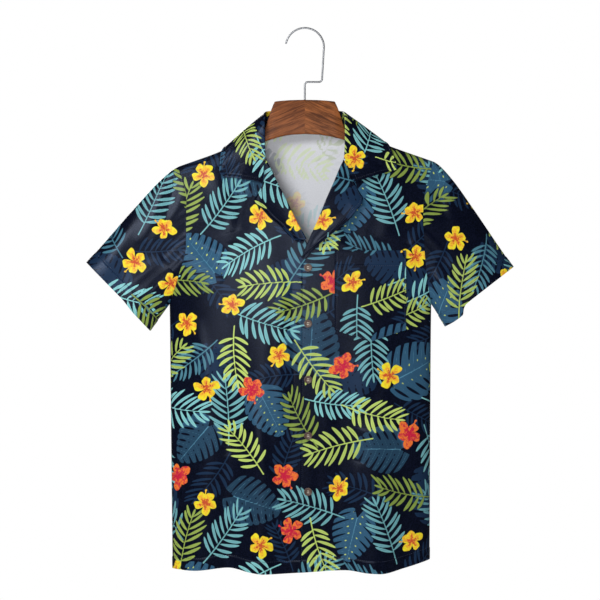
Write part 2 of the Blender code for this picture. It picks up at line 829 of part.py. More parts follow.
def add_object(name, mesh, finish):
    """Puts a mesh into the scene with its material and soft shading."""
    mesh.validate()
    mesh.shade_smooth()
    mesh.set_sharp_from_angle(angle=math.radians(40))
    thing = bpy.data.objects.new(name, mesh)
    bpy.context.scene.collection.objects.link(thing)
    mesh.materials.append(finish)
    return thing


def add_cutter(bm, name):
    """Puts a cutting shape into the scene, out of the render."""
    cutter = bpy.data.objects.new(name, mesh_from(bm, name))
    bpy.context.scene.collection.objects.link(cutter)
    cutter.hide_render = True
    cutter.display_type = "WIRE"
    return cutter


def cut_away(thing, cutter):
    cut = thing.modifiers.new(cutter.name, "BOOLEAN")
    cut.object = cutter
    cut.operation = "DIFFERENCE"


def material(name, colour, roughness, metallic=0.0):
    finish = bpy.data.materials.new(name)
    finish.use_nodes = True
    shader = finish.node_tree.nodes["Principled BSDF"]
    shader.inputs["Base Color"].default_value = (*colour, 1.0)
    shader.inputs["Roughness"].default_value = roughness
    shader.inputs["Metallic"].default_value = metallic
    return finish


def hem_thickness(grid, hem):
    """Cloth thickness, with the extra layers of the hem on the hem's rows."""
    thick = np.full(grid.shape[:2], WALL)
    thick[hem] = WALL + HEM_EXTRA
    return thick


def section(top, bottom, half_depth, rounding, corners=4):
    """Rounded rectangle across the wood."""
    round_ = min(rounding, half_depth * 0.95, (top - bottom) * 0.48)
    points = []
    for sign_y, sign_z, first in ((1, 1, 0), (-1, 1, 90), (-1, -1, 180), (1, -1, 270)):
        centre_y = sign_y * (half_depth - round_)
        centre_z = (top - round_) if sign_z > 0 else (bottom + round_)
        for i in range(corners):
            turn = math.radians(first + 90 * i / (corners - 1))
            points.append((centre_y + round_ * math.cos(turn), centre_z + round_ * math.sin(turn)))
    return points


def tube(bm, rings):
    """Joins equal rings of points, given in millimetres, and closes both ends."""
    loops = [[bm.verts.new([c * MM for c in point]) for point in ring] for ring in rings]
    for low, high in zip(loops[:-1], loops[1:]):
        for i in range(len(low)):
            bm.faces.new((low[i - 1], low[i], high[i], high[i - 1]))
    bm.faces.new(loops[0])
    bm.faces.new(loops[-1])


def add_hanger_half(side, bore, finish):
    """One half of the wooden hanger, glued to the other at the middle."""
    stations = []
    for out, top, bottom in zip(*WOOD[side].values()):
        slim = step_up(*WOOD_SLIMS, out)
        half_depth = (WOOD_THICK + (ARM_THICK - WOOD_THICK) * slim) / 2
        rounding = WOOD_ROUND + (ARM_EDGE - WOOD_ROUND) * slim
        stations.append((max(out, SEAM / 2), top, bottom, half_depth, rounding))
    neck = ARM_OUT[0]
    end = ARM_OUT[-1]
    for out in ARM_OUT:
        top = float(shoulder_line(SIDES[side] * out)) - WALL - ARM_GAP
        way = (out - neck) / (end - neck)
        height = ARM_HEIGHT[0] + (ARM_HEIGHT[1] - ARM_HEIGHT[0]) * way
        middle = top - height / 2
        past = max((out - end) / ARM_TIP + 1, 0)
        close = math.sqrt(1 - 0.88 * past ** 2)
        half_height = height / 2 * close
        half_depth = ARM_THICK / 2 * max(close, ARM_TIP_SLIM)
        stations.append((out, middle + half_height, middle - half_height, half_depth, ARM_EDGE))
    rings = []
    for out, *size in stations:
        rings.append([(SIDES[side] * out, y, z) for y, z in section(*size)])
    bm = bmesh.new()
    tube(bm, rings)
    name = "hanger_half_" + side
    cut_away(add_object(name, mesh_from(bm, name), finish), bore)


def add_stem_bore():
    """Cutter for the hole that the hook's stem sits in."""
    bottom = STEM_END - SEAM
    radius = (WIRE / 2 + SEAM) * MM
    place = Matrix.Translation((0, 0, (STEM_BORE_TOP + bottom) / 2 * MM))
    bm = bmesh.new()
    bmesh.ops.create_cone(
        bm, cap_ends=True, segments=STEM_BORE_SIDES, radius1=radius, radius2=radius,
        depth=(STEM_BORE_TOP - bottom) * MM, matrix=place)
    return add_cutter(bm, "stem_bore")


def arc(centre_x, centre_z, radius, start, end, count):
    """Points of an arc in the plane of the hook, angles in degrees."""
    turn = np.radians(np.linspace(start, end, count))
    return np.stack([centre_x + radius * np.cos(turn), centre_z + radius * np.sin(turn)], -1)


def add_hook(finish):
    """Bent wire: bow, straight side, level run and the stem in the wood."""
    bow = arc(0, WIRE / 2 - HOOK_RADIUS, HOOK_RADIUS, HOOK_TIP_ANGLE, 0, 19)
    low = arc(HOOK_LOW_X - HOOK_BEND, HOOK_LOW + HOOK_BEND, HOOK_BEND, 0, -90, 5)
    stem = arc(HOOK_BEND, HOOK_LOW - HOOK_BEND, HOOK_BEND, 90, 180, 5)
    path = np.concatenate([bow, low, stem, [(0.0, STEM_END)]])
    tangent = unit(np.gradient(path, axis=0))
    across = np.stack([-tangent[:, 1], tangent[:, 0]], -1)
    size = np.append(0.5, np.ones(len(path)))
    path = np.concatenate([path[:1] - tangent[:1] * WIRE / 4, path])
    across = np.concatenate([across[:1], across])
    turn = np.linspace(0, math.tau, HOOK_SIDES, endpoint=False)
    round_in = size[:, None] * np.cos(turn) * WIRE / 2
    round_y = size[:, None] * np.sin(turn) * WIRE / 2
    rings = np.stack([
        path[:, :1] + across[:, :1] * round_in,
        round_y,
        path[:, 1:] + across[:, 1:] * round_in], axis=-1)
    bm = bmesh.new()
    tube(bm, rings.tolist())
    add_object("hook", mesh_from(bm, "hook"), finish)


def add_button(index, finish):
    """Flat button with a raised rim and four thread holes."""
    z = BUTTON_TOP - BUTTON_SPACING * index
    ring = np.linspace(0, math.tau, BUTTON_STEPS)
    rim_x = BUTTON_X + BUTTON_RADIUS * np.cos(ring)
    rim_z = z + BUTTON_RADIUS * np.sin(ring)
    seat = max(depth(rim_x, rim_z, "front").max(), depth(BUTTON_X, z, "front")) + BUTTON_STAND
    profile = (
        (0.0, 0.0),
        (BUTTON_RADIUS - 0.8, 0.0),
        (BUTTON_RADIUS, 0.7),
        (BUTTON_RADIUS, BUTTON_THICK - 0.6),
        (BUTTON_RADIUS - 0.7, BUTTON_THICK),
        (BUTTON_RADIUS - 1.5, BUTTON_THICK),
        (BUTTON_RADIUS - 2.2, BUTTON_THICK - BUTTON_DISH),
        (0.0, BUTTON_THICK - BUTTON_DISH),
    )
    name = "button_" + str(index + 1)
    stand_up = Matrix.Rotation(math.pi / 2, 4, "X")
    bm = bmesh.new()
    verts = [bm.verts.new((r * MM, 0, h * MM)) for r, h in profile]
    edges = [bm.edges.new(pair) for pair in zip(verts[:-1], verts[1:])]
    bmesh.ops.spin(bm, geom=verts + edges, cent=(0, 0, 0), axis=(0, 0, 1),
                   angle=math.tau, steps=BUTTON_STEPS, use_merge=True)
    bmesh.ops.remove_doubles(bm, verts=bm.verts, dist=0.01 * MM)
    bm.transform(Matrix.Translation((BUTTON_X * MM, -seat * MM, z * MM)) @ stand_up)
    button = add_object(name, mesh_from(bm, name), finish)
    holes = bmesh.new()
    for across in (-THREAD_SPREAD, THREAD_SPREAD):
        for up in (-THREAD_SPREAD, THREAD_SPREAD):
            middle = ((BUTTON_X + across) * MM, -seat * MM, (z + up) * MM)
            bmesh.ops.create_cone(
                holes, cap_ends=True, segments=6, radius1=THREAD_HOLE * MM,
                radius2=THREAD_HOLE * MM, depth=4 * BUTTON_THICK * MM,
                matrix=Matrix.Translation(middle) @ stand_up)
    cut_away(button, add_cutter(holes, name + "_holes"))


def add_shirt(cloth):
    """The sewn pieces of the shirt."""
    ahead = (0, -1, 0)
    behind = (0, 1, 0)
    fronts = {side: front_grid(side) for side in SIDES}
    back = back_grid()
    back_edge = {"right": back[:, 0], "left": back[:, -1]}
    hem = slice(0, HEM_ROWS)
    cuff = slice(-HEM_ROWS, None)
    add_wall("back", back, cloth, behind, hem_thickness(back, hem), panel=True)
    for side, front in fronts.items():
        add_wall("front_" + side, front, cloth, ahead, hem_thickness(front, hem), panel=True)
        sleeve = sleeve_grid(side, front[:, 0], back_edge[side])
        ring = sleeve[len(sleeve) // 2]
        outward = ring[len(ring) // 2] - ring.mean(axis=0)
        add_wall("sleeve_" + side, sleeve, cloth, outward, hem_thickness(sleeve, cuff), closed=True)
        add_wall("lapel_" + side, lapel_grid(side), cloth, ahead)
    collar = np.concatenate([collar_half("right"), collar_half("left")[-2::-1]])
    add_wall("collar", collar, cloth, behind)
    add_wall("pocket", pocket_grid(), cloth, ahead)


def main():
    for thing in list(bpy.data.objects):
        bpy.data.objects.remove(thing)
    cloth = material("printed_viscose", (0.016, 0.02, 0.042), 0.62)
    wood = material("walnut", (0.2, 0.09, 0.04), 0.4)
    steel = material("chromed_steel", (0.75, 0.75, 0.76), 0.22, 1.0)
    coconut = material("coconut_shell", (0.12, 0.06, 0.035), 0.4)
    add_shirt(cloth)
    for index in range(BUTTON_COUNT):
        add_button(index, coconut)
    bore = add_stem_bore()
    for side in SIDES:
        add_hanger_half(side, bore, wood)
    add_hook(steel)


main()
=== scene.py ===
"""Camp-collar hawaiian shirt on a wooden hanger, dressed for the render.

Frame: +Z is up, the shirt's front faces -Y and +X is the wearer's left. The
origin is the highest point inside the hook. Tables and shapes are in
millimetres and meshes are written in metres. The cloth lies on the same forms
as its solids, with finer creases, and its print is worked out on the flat cloth.
"""

import itertools
import math

import bpy
import numpy as np
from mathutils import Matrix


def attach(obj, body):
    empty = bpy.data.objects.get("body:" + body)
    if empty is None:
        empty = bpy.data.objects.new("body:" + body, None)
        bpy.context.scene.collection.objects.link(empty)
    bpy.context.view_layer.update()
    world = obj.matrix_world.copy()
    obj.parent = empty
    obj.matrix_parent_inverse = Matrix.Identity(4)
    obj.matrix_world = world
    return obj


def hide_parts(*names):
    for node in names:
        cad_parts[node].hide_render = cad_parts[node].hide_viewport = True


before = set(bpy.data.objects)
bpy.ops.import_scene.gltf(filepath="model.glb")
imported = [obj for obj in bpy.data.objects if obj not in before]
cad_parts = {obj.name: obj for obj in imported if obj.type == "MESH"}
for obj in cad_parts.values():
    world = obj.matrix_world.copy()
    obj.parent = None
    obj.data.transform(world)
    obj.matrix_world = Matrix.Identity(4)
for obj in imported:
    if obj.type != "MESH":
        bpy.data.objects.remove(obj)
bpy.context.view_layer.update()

bl_info = {
    "name": "Hawaiian shirt on a hanger",
    "version": (1, 0, 0),
    "blender": (4, 5, 0),
    "location": "3D View > Sidebar > Shirt",
    "description": "Printed camp-collar shirt on a wooden hanger, piece by piece",
    "category": "Add Mesh",
}

MM = 0.001
SIDES = {"right": -1.0, "left": 1.0}


# ---------------------------------------------------------------- sizes

def table(names, *rows):
    """Columns of a small table by name, a row for each section, fold or motif."""
    return dict(zip(names.split(), np.array(rows, dtype=float).T))


WALL = 1.3              # thickness of the solids' cloth wall
TUCK = 5.0              # how far a sleeve's head reaches in behind its armhole
LAY = 0.5               # gap between a piece and the panel it lies on
HEM_EXTRA = 0.7         # extra thickness of the solids' hems
ARM_ROUND = 8.0         # radius of the cloth where it bends over the hanger
SETTLE = {"front": 80.0, "back": 50.0}   # drop over which the cloth swings out
SIDE_POWER = 3.0        # how blunt the side of the body is, 2 for an ellipse
INSET = 2.8             # front's edge behind the fold of its lapel
UNDERLAP = 2.1          # how far the right front dips below the left one
BUTTON_X = 5.2
BUTTON_TOP = -386.9     # height of the uppermost button's middle
BUTTON_SPACING = 90.4
BUTTON_COUNT = 5
BUTTON_RADIUS = 6.5
BUTTON_STAND = 0.35     # gap between a button and the panel under it
BUTTON_PROFILE = table(
    "share height",     # share of the radius, from the middle over the rim to the back
    (0.0, 2.0), (0.55, 2.0), (0.66, 2.1), (0.76, 2.55), (0.84, 2.6), (0.92, 2.55),
    (0.98, 2.25), (1.0, 1.8), (1.0, 0.8), (0.95, 0.3), (0.85, 0.02), (0.0, 0.0))
BUTTON_FACE = 5.0       # rows of the profile that lie on the face
HOLE_SPREAD = 1.3       # from the button's middle to a hole, across and up
HOLE_EDGE = (0.95, 0.6)             # radii between which a hole's side falls
HOLE_DEEP = 1.3
THREAD_RADIUS = 0.55
POCKET_LEFT = 48.0
POCKET_RIGHT = 163.3
POCKET_TOP = -359.0
POCKET_SIDE = -487.5    # foot of the pocket at its sides
POCKET_POINT = -506.5   # and at its middle
WIRE = 3.0
HOOK_RADIUS = 31.0
HOOK_TIP_ANGLE = 168.0
HOOK_LOW = -86.0        # centre line of the level run below the bow
HOOK_LOW_X = 27.9       # its outer end
HOOK_BEND = 5.0         # radius of the bends at its ends
STEM_TOP = -105.0
STEM_END = -140.0       # inside the wood
WOOD_THICK = 12.0
WOOD_ROUND = 3.0
WOOD_SLIMS = (52.0, 66.0)           # from the neck of the hanger to its arms
ARM_OUT = (70.0, 204.5)             # where the straight arm begins and ends
ARM_GAP = 0.6           # between the arm and the cloth that rests on it
ARM_HEIGHT = (25.0, 15.0)           # at the neck and at the end
ARM_THICK = 11.0
ARM_EDGE = 5.0          # rounding along the arm
ARM_TIP = 8.0           # length over which the arm's end is rounded
ARM_TIP_SLIM = 0.4      # thickness left at its very end
WOOD_SIDES = 48         # points round a section of the wood, wire and so on
WIRE_SIDES = 20
THREAD_SIDES = 8
BUTTON_SIDES = 64
BUTTON_ROWS = 77
SHARP_ANGLE = 50.0      # degrees past which an edge isn't shaded smooth

# Line of the shoulder seams, from the wearer's right to the left
SHOULDER = table(
    "x z",
    (-262, -248), (-213, -226.5), (-132.5, -196.5), (-110, -184), (-90, -172.5), (-69, -159),
    (-45, -130), (0, -95), (45, -129), (69, -157), (90, -168.5), (110, -178.5), (131, -187.5),
    (210, -215.6), (252, -230.5))
# Side seams, and above the underarm how wide the hanging body's form is
OUTLINE = table(
    "z right left",
    (-890, -214, 202), (-620, -217, 203.3), (-446, -219, 204.8), (-420, -225, 211),
    (-390, -240, 228), (-350, -262, 252), (-150, -262, 252))
# Depth of the front and the back away from the plane of the side seams
DEPTH = table(
    "z front back",
    (-890, 42, 38), (-650, 36, 33), (-450, 36, 32), (-300, 34, 32), (-150, 30, 30))
# Lower edge, from the wearer's right to the left
HEM = table(
    "x z",
    (-216, -873), (-179, -876), (-123, -871), (-86, -879), (-67, -881.5), (-10, -879),
    (66, -875), (103, -880), (122, -881), (160, -872), (204, -858))
# Large folds: a soft ridge, or a trough where the height is below nought,
# which begins at z_top and is full at FOLD_FULL, just below the hem
FOLD_FULL = -880.0
FOLDS = {
    "front": table(
        "x_top x_hem width height z_top",
        (-150, -178, 26, 7, -420), (-112, -126, 20, -7, -400), (-62, -74, 24, 9, -330),
        (58, 52, 26, -6, -420), (104, 116, 28, 9, -380), (152, 164, 20, -6, -440)),
    "back": table(
        "x_top x_hem width height z_top",
        (-120, -140, 26, 8, -300), (-60, -78, 24, -6, -280), (-8, -14, 30, 9, -260),
        (58, 52, 24, -7, -300), (112, 128, 28, 8, -340)),
}
# Finer creases: a soft ridge, or a trough where its height is below nought,
# from one point to another. All heights are raised by the same gain
CREASE_GAIN = 1.6
CREASES = {
    "front": table(
        "x_0 z_0 x_1 z_1 width height",
        (-40, -395, -38, -520, 9, 1.6), (-38, -520, -44, -700, 11, 1.2),
        (-20, -400, -16, -640, 6, -0.8), (-205, -330, -120, -372, 9, 1.5),
        (-200, -352, -132, -410, 8, -1.1), (-196, -300, -150, -300, 10, -1.0),
        (190, -322, 172, -352, 8, 1.3), (186, -350, 176, -430, 9, -1.0),
        (-150, -225, -118, -330, 16, 1.4), (-95, -262, -112, -350, 13, -1.2),
        (150, -215, 128, -340, 16, 1.4), (96, -290, 66, -350, 12, -1.2),
        (-178, -470, -150, -600, 12, 1.3), (-150, -520, -120, -690, 14, -1.4),
        (176, -520, 150, -640, 13, 1.3), (128, -540, 96, -650, 14, -1.2),
        (30, -560, 44, -720, 12, 1.2), (-92, -600, -60, -740, 13, 1.3),
        (86, -700, 60, -800, 11, 1.1), (20, -700, 26, -850, 9, -1.0)),
    "back": table(
        "x_0 z_0 x_1 z_1 width height",
        (-196, -300, -110, -350, 10, 1.5), (196, -305, 104, -360, 10, 1.5),
        (-180, -345, -90, -430, 9, -1.2), (182, -352, 96, -440, 9, -1.2),
        (-70, -230, -96, -350, 14, 1.3), (72, -230, 92, -340, 14, 1.3),
        (-30, -300, -40, -480, 12, -1.2), (28, -320, 22, -520, 12, 1.2),
        (-168, -520, -140, -680, 13, 1.3), (160, -500, 146, -690, 13, 1.3),
        (-60, -600, -30, -760, 12, 1.1), (84, -620, 78, -790, 12, -1.1)),
    "sleeve": table(
        "x_0 z_0 x_1 z_1 width height",
        (-206, -236, -232, -322, 10, -1.3), (-226, -250, -262, -350, 14, 0.8),
        (-214, -392, -262, -440, 9, 1.4), (-228, -372, -290, -420, 10, -1.1),
        (-270, -300, -322, -380, 13, 0.9), (208, -228, 226, -312, 10, -1.6),
        (224, -246, 252, -340, 13, 1.1), (206, -396, 246, -440, 9, 1.4),
        (216, -372, 270, -418, 10, -1.1), (258, -300, 306, -376, 13, 0.9)),
}
# Armhole seam on the front and the back, from the underarm to the shoulder
ARMHOLE = {
    "right": table(
        "z front back",
        (-446, -219, -219), (-400, -204, -208), (-353, -192, -198), (-280, -191.5, -197),
        (-250, -196.5, -200), (-224, -206, -206)),
    "left": table(
        "z front back",
        (-446, 204.8, 204.8), (-403, 197.5, 200), (-353, 193, 197), (-290, 191.3, 196),
        (-248, 199, 201), (-215, 208, 208)),
}
# Edge of each front, and above V_START the line on which its lapel folds
ROLL = {
    "right": table(
        "z x",
        (-890, 22), (-374, 22), (-358, 12.5), (-344.4, 5.2), (-314.8, -11.2), (-280.9, -27.8),
        (-242.2, -47.5), (-224, -55.9), (-211, -63), (-203, -64.2), (-180, -64.8), (-150, -66.8)),
    "left": table(
        "z x",
        (-890, -10.5), (-384, -9), (-376, -7.2), (-344.4, 5.2), (-303.9, 23.3), (-276, 34.4),
        (-249.5, 46.2), (-222, 57.8), (-211, 63), (-203, 64.3), (-180, 65.2), (-150, 66.8)),
}
V_START = -384.0        # height above which the fronts fold back
UNDERARM = -446.0
INNER_START = -410.0    # height inside that goes with the underarm outside
# Rows of a panel from its hem to its shoulder: hem is the share of the hem's
# own line and follow the share of the shoulder line's shape
BODY_ROWS = table(
    "outer inner hem",
    (-875, -880, 1), (-853, -858, 1), (-800, -805, 0.6), (-735, -740, 0.3),
    (-670, -675, 0.1), (-605, -610, 0), (-545, -545, 0), (-492, -478, 0))
UPPER_ROWS = table(
    "outer inner follow",
    (0, 0, 0), (0.06, 0.10, 0), (0.12, 0.15, 0), (0.22, 0.27, 0), (0.35, 0.41, 0),
    (0.48, 0.54, 0), (0.61, 0.66, 0.05), (0.73, 0.775, 0.2), (0.83, 0.865, 0.45),
    (0.905, 0.935, 0.75), (0.955, 0.975, 0.93), (0.982, 0.992, 0.99), (0.995, 0.9985, 1),
    (1, 1, 1))
NECK_X = 69.0           # shoulder's inner end, where the neckline begins
BACK_NECK = table("x z", (0, -168), (30, -167.4), (50, -165.6), (62, -162.5), (69, -158))
# Upper and lower end of each cuff, and how far back its middle is drawn in
SLEEVE = {
    "right": dict(outer=(-354.0, -378.0), lower=(-250.5, -489.0)),
    "left": dict(outer=(338.0, -385.5), lower=(227.5, -482.0)),
}
CUFF_DEPTH = 27.0       # half a cuff's depth from front to back
# Further way back of a cuff's middle, along its width from the upper end
CUFF_WAVE = {
    "right": table("share back", (0, 0), (0.35, 1.5), (0.55, 2.2), (0.75, 0), (1, 0)),
    "left": table(
        "share back",
        (0, 0), (0.4, 3.6), (0.67, 5.4), (0.72, 2.4), (0.78, -4.5), (0.87, -3.7), (1, 0)),
}
CUFF_BLUNT = 0.8                    # 1 for an ellipse, less for a blunter ring
SHOULDER_LEAVE = (0.93, -0.37)      # outward and up
UNDERARM_LEAVE = (0.59, -0.81)
SLEEVE_HANDLES = (0.14, 0.35)       # of its curve at the armhole and the cuff
# Rows of a lapel from its foot up: fold, outer edge, and bow of the row
LAPEL = {
    "left": table(
        "roll_z edge_x edge_z bow",
        (-371.5, 2, -373, 0), (-353, 12.5, -360, 0), (-337.5, 25.6, -347.5, 0),
        (-319, 43.7, -332.5, 0), (-299, 58, -321, 0), (-276, 72, -309, 0),
        (-254, 82.5, -295.5, 0), (-234, 91.5, -284.5, 0.6), (-214, 93.5, -275.5, 1.4)),
    "right": table(
        "roll_z edge_x edge_z bow",
        (-340, -3, -348.5, 0), (-330, -13, -345, 0), (-314.8, -27, -334, 0),
        (-297, -40, -321, 0), (-280.9, -54, -309.5, 0), (-261.5, -66.5, -295.5, 0),
        (-243, -74, -287, 1.0), (-228, -79.5, -281.5, 3.4), (-214, -81, -278.5, 6.4)),
}
# How far the lapels' edges and the collar's points stand off the fronts
LAPEL_LIFT = {"right": 4.0, "left": 9.0}
COLLAR_LIFT = {"right": 5.0, "left": 7.0}
GORGE_ROWS = 30         # rows over which a lapel settles under the collar
GORGE_SHARE = 0.55      # where along its row the bow is greatest
# Small curl from the fold line to the lapel's face, and the points that draw it
CURL = table("across up", (0.9, -1.25), (0.0, -0.3), (0.35, 1.1), (1.6, 1.75))
CURL_COLUMNS = 10
# Stations of half a collar, from its gorge seam to the back's middle: neck seam,
# folded edge, and where the fall lies, -1 on the front, 0 on the shoulder, 1 behind
COLLAR = table(
    "seam_out seam_y seam_z roll_out roll_y roll_z face",
    (64.5, -20, -211, 63.6, -24, -211, -1), (65.1, -17.6, -200, 64.4, -22, -200, -1),
    (65.7, -14.3, -184, 64.8, -19.8, -183, -1), (66.3, -11.4, -172, 65, -18, -167, -1),
    (66.9, -8, -164.5, 65.2, -15.6, -154, -1), (67.1, -5, -160.3, 65, -11, -145, -1),
    (67.1, -2, -158.6, 64.5, -5, -138.5, -1), (66.9, 1.5, -157.6, 63.8, 2, -135.5, 0),
    (64.6, 7.4, -158.8, 61.5, 10.5, -133.5, 1), (56.6, 14.2, -163.2, 52, 19, -132, 1),
    (33, 21, -166.8, 30, 26, -131, 1), (0, 23.8, -167.5, 0, 28.5, -130.5, 1))
# Outer edge of the fall at the same stations
COLLAR_EDGE = {
    "right": table(
        "out z",
        (68.4, -250.5), (84, -246), (97, -244.5), (110.5, -242), (126, -240.5), (138.2, -232),
        (137, -213), (132, -192), (121, -203), (98, -200), (52, -190), (0, -186)),
    "left": table(
        "out z",
        (79.8, -248.5), (91, -245.5), (104, -241), (119, -236.5), (134, -232), (148.9, -227),
        (142.5, -205.5), (133, -183.5), (121, -197), (98, -197), (52, -189), (0, -186)),
}
COLLAR_BULGE = 0.8      # how far the fall stands off over the shoulder
COLLAR_POINT = (4.5, 2.5)           # stations over which the points' lift grows
RIDGE_LIFT = 1.2        # more room where its sections turn over the shoulder
COLLAR_WRAP = (5.0, 9.0)            # stations that lie round the shoulder
ROLL_RADIUS = 1.9       # outer radius of the collar's folded edge
ROLL_OUTWARD = 2.2      # how much the folded edge faces backwards behind the neck
STAND_COLUMNS = 5       # columns of its grid up the stand, and round the fold
FOLD_COLUMNS = 9
# Upper and lower edge of each wooden half, from the joint out to its neck
WOOD = {
    "right": table(
        "out top bottom",
        (0, -115, -170.3), (20, -115.4, -171.4), (38, -116.6, -174.4), (46, -117.5, -176.6),
        (48.6, -118, -177.5), (50, -120.4, -178.1), (54, -130, -179), (58, -141.5, -180.4),
        (61.5, -152, -181.6), (64.5, -161, -182.7)),
    "left": table(
        "out top bottom",
        (0, -115, -170.3), (20, -115.4, -171.2), (38, -116.6, -173.6), (46, -117.5, -175.2),
        (48.4, -118, -176), (49.8, -120.4, -176.5), (54, -130, -177.3), (58, -141, -178.4),
        (61.5, -151, -179.4), (64.5, -159.5, -180.2)),
}

# Stitches: length, gap between two, and distance from the edge they hold
STITCH = 2.6
STITCH_GAP = 0.7
HEM_WIDTH = 20.0
CUFF_WIDTH = 22.0
EDGE_STITCH = 5.5
POCKET_STITCH = 2.0
POCKET_HEM = 25.0
HEM_EDGE = (0, False, HEM_WIDTH, 0.6)
CUFF_EDGE = (0, True, CUFF_WIDTH, 0.6)
OUTER_EDGE = (1, True, EDGE_STITCH, 0.8)
# Each cloth piece: rows and columns of its outer side, where it was cut from
# the print, across and along, and its turned edges. An edge has its axis,
# whether it is at that axis's end, its stitches' distance and how proud it is
CLOTH = {
    "front_right": dict(grid=(445, 169), cut=(40, 120), turned=[HEM_EDGE]),
    "front_left": dict(
        grid=(455, 165), cut=(40, 120), turned=[HEM_EDGE, (1, True, EDGE_STITCH, 0.5)]),
    "back": dict(grid=(365, 215), cut=(80, 190), turned=[HEM_EDGE]),
    "sleeve_right": dict(grid=(133, 272), cut=(150, 210), turned=[CUFF_EDGE]),
    "sleeve_left": dict(grid=(133, 272), cut=(380, 60), turned=[CUFF_EDGE]),
    "collar": dict(grid=(161, 91), cut=(80, 220), turned=[OUTER_EDGE]),
    "lapel_right": dict(grid=(121, 61), cut=(10, 430), turned=[OUTER_EDGE]),
    "lapel_left": dict(grid=(121, 61), cut=(110, 520), turned=[OUTER_EDGE]),
    "pocket": dict(grid=(101, 81), cut=(110, 90), turned=[
        (0, True, POCKET_HEM, 0.4), (0, False, POCKET_STITCH, 0.4),
        (1, True, POCKET_STITCH, 0.4), (1, False, POCKET_STITCH, 0.4)]),
}
# Rows of stitches: piece, axis, whether at that axis's end, distance from the
# edge, and the lengths left without stitches at the row's start and end
SEAMS = {
    "hem_stitches": [
        (name, 0, False, HEM_WIDTH, 0.0, 0.0) for name in ("front_right", "front_left", "back")],
    "cuff_stitches": [("sleeve_" + side, 0, True, CUFF_WIDTH, 0.0, 0.0) for side in SIDES],
    "collar_stitches": [
        ("collar", 1, True, EDGE_STITCH, 5.5, 5.5),
        ("collar", 0, False, EDGE_STITCH, 22.0, 5.5),
        ("collar", 0, True, EDGE_STITCH, 22.0, 5.5),
        ("lapel_right", 1, True, EDGE_STITCH, 20.0, 5.5),
        ("lapel_right", 0, True, EDGE_STITCH, 8.0, 5.5),
        ("lapel_left", 1, True, EDGE_STITCH, 20.0, 5.5),
        ("lapel_left", 0, True, EDGE_STITCH, 8.0, 5.5)],
    "front_edge_stitches": [("front_left", 1, True, EDGE_STITCH, 20.0, 0.0)],
    "pocket_stitches": [
        ("pocket", 1, False, POCKET_STITCH, 2.0, 1.0), ("pocket", 1, True, POCKET_STITCH, 2.0, 1.0),
        ("pocket", 0, False, POCKET_STITCH, 2.0, 2.0), ("pocket", 0, True, POCKET_HEM, 2.0, 2.0)],
}
# A stitch's corners, along it as shares of its length, across it and up
STITCH_BEAD = table(
    "way across up",
    (-0.5, 0, -0.05),
    (-0.3, -0.26, 0.02), (-0.3, -0.12, 0.34), (-0.3, 0.12, 0.34), (-0.3, 0.26, 0.02),
    (0.3, -0.26, 0.02), (0.3, -0.12, 0.34), (0.3, 0.12, 0.34), (0.3, 0.26, 0.02),
    (0.5, 0, -0.05))

# Print: how many of each motif one repeat holds, their sizes, and how far
# apart two of a kind are kept, as a share of the repeat
REPEAT = (470.0, 530.0)
MOTIFS = {
    "ghost_frond": dict(count=10, size=(84, 112), apart=1.2),
    "ghost_leaf": dict(count=5, size=(66, 88), apart=1.2),
    "slate_leaf": dict(count=8, size=(74, 98), apart=1.5),
    "teal_frond": dict(count=15, size=(98, 128), apart=1.35),
    "lime_frond": dict(count=14, size=(96, 122), apart=1.35),
    "yellow_flower": dict(count=12, size=(18, 20.5), apart=1.6),
    "red_flower": dict(count=7, size=(19, 21.5), apart=1.6),
}
FROND_PAIRS = {"ghost": 7, "teal": 8, "lime": 7}
PRINT_SEED = 11
PLACES_TRIED = 120
FAR = 9.0               # distance that a layer holds where no motif is near
LAYERS = ("ghost", "slate", "rib", "teal", "lime", "petal", "core", "kind", "tone")
# Patterns of the finishes: real sizes in mm, each that of its noise's cells, as
# a metre over how many of them it holds
METRE = 1000.0
GROUND_PATCH = METRE / 55           # 18 mm
YARN = METRE / 560                  # 1.8 mm
WASH = METRE / 190                  # 5.3 mm
DAB = METRE / 420                   # 2.4 mm
SLUB = METRE / 900                  # 1.1 mm
# Across the streaks, into the board and outward: 3.7, 17 and 38 mm
GRAIN = (METRE / 270, METRE / 60, METRE / 26)
PORES = (METRE / 1300, METRE / 400, METRE / 90)             # 0.77, 2.5 and 11 mm
WIRE_MARK = METRE / 240             # 4.2 mm
SHELL_FIBRE = (METRE / 1500, METRE / 900, METRE / 350)      # 0.67, 1.1 and 2.9 mm
SHELL_PATCH = METRE / 180           # 5.6 mm
THREAD_PATCH = METRE / 600          # 1.7 mm
PAINT_PATCH = METRE / 2             # 500 mm
# Lamps: share of the key light's power, size, place and aim, in metres
LAMPS = {
    "key_softbox": (1.0, (0.5, 0.5), (-0.95, -1.5, 0.45), (0.0, 0.0, -0.45)),
    "fill_softbox": (0.2, (1.6, 1.6), (2.6, -1.2, 0.2), (0.0, 0.0, -0.45)),
    "front_softbox": (0.33, (0.35, 0.35), (-0.17, -1.4, -0.3), (-0.05, 0.0, -0.4)),
    "top_softbox": (0.1, (1.0, 0.6), (-0.3, -0.5, 1.0), (0.0, 0.0, -0.45)),
    "back_softbox": (1.1, (1.2, 1.2), (-0.9, 2.2, 0.5), (0.0, 0.0, -0.45)),
}
FLOOR_RADIUS = 3000.0
FLOOR_Z = -1250.0
SENSOR = 36.0
CAMERA_X = -0.0078      # in metres, as CAMERA_Z is
CAMERA_Z = -0.4392


# ---------------------------------------------------------------- forms

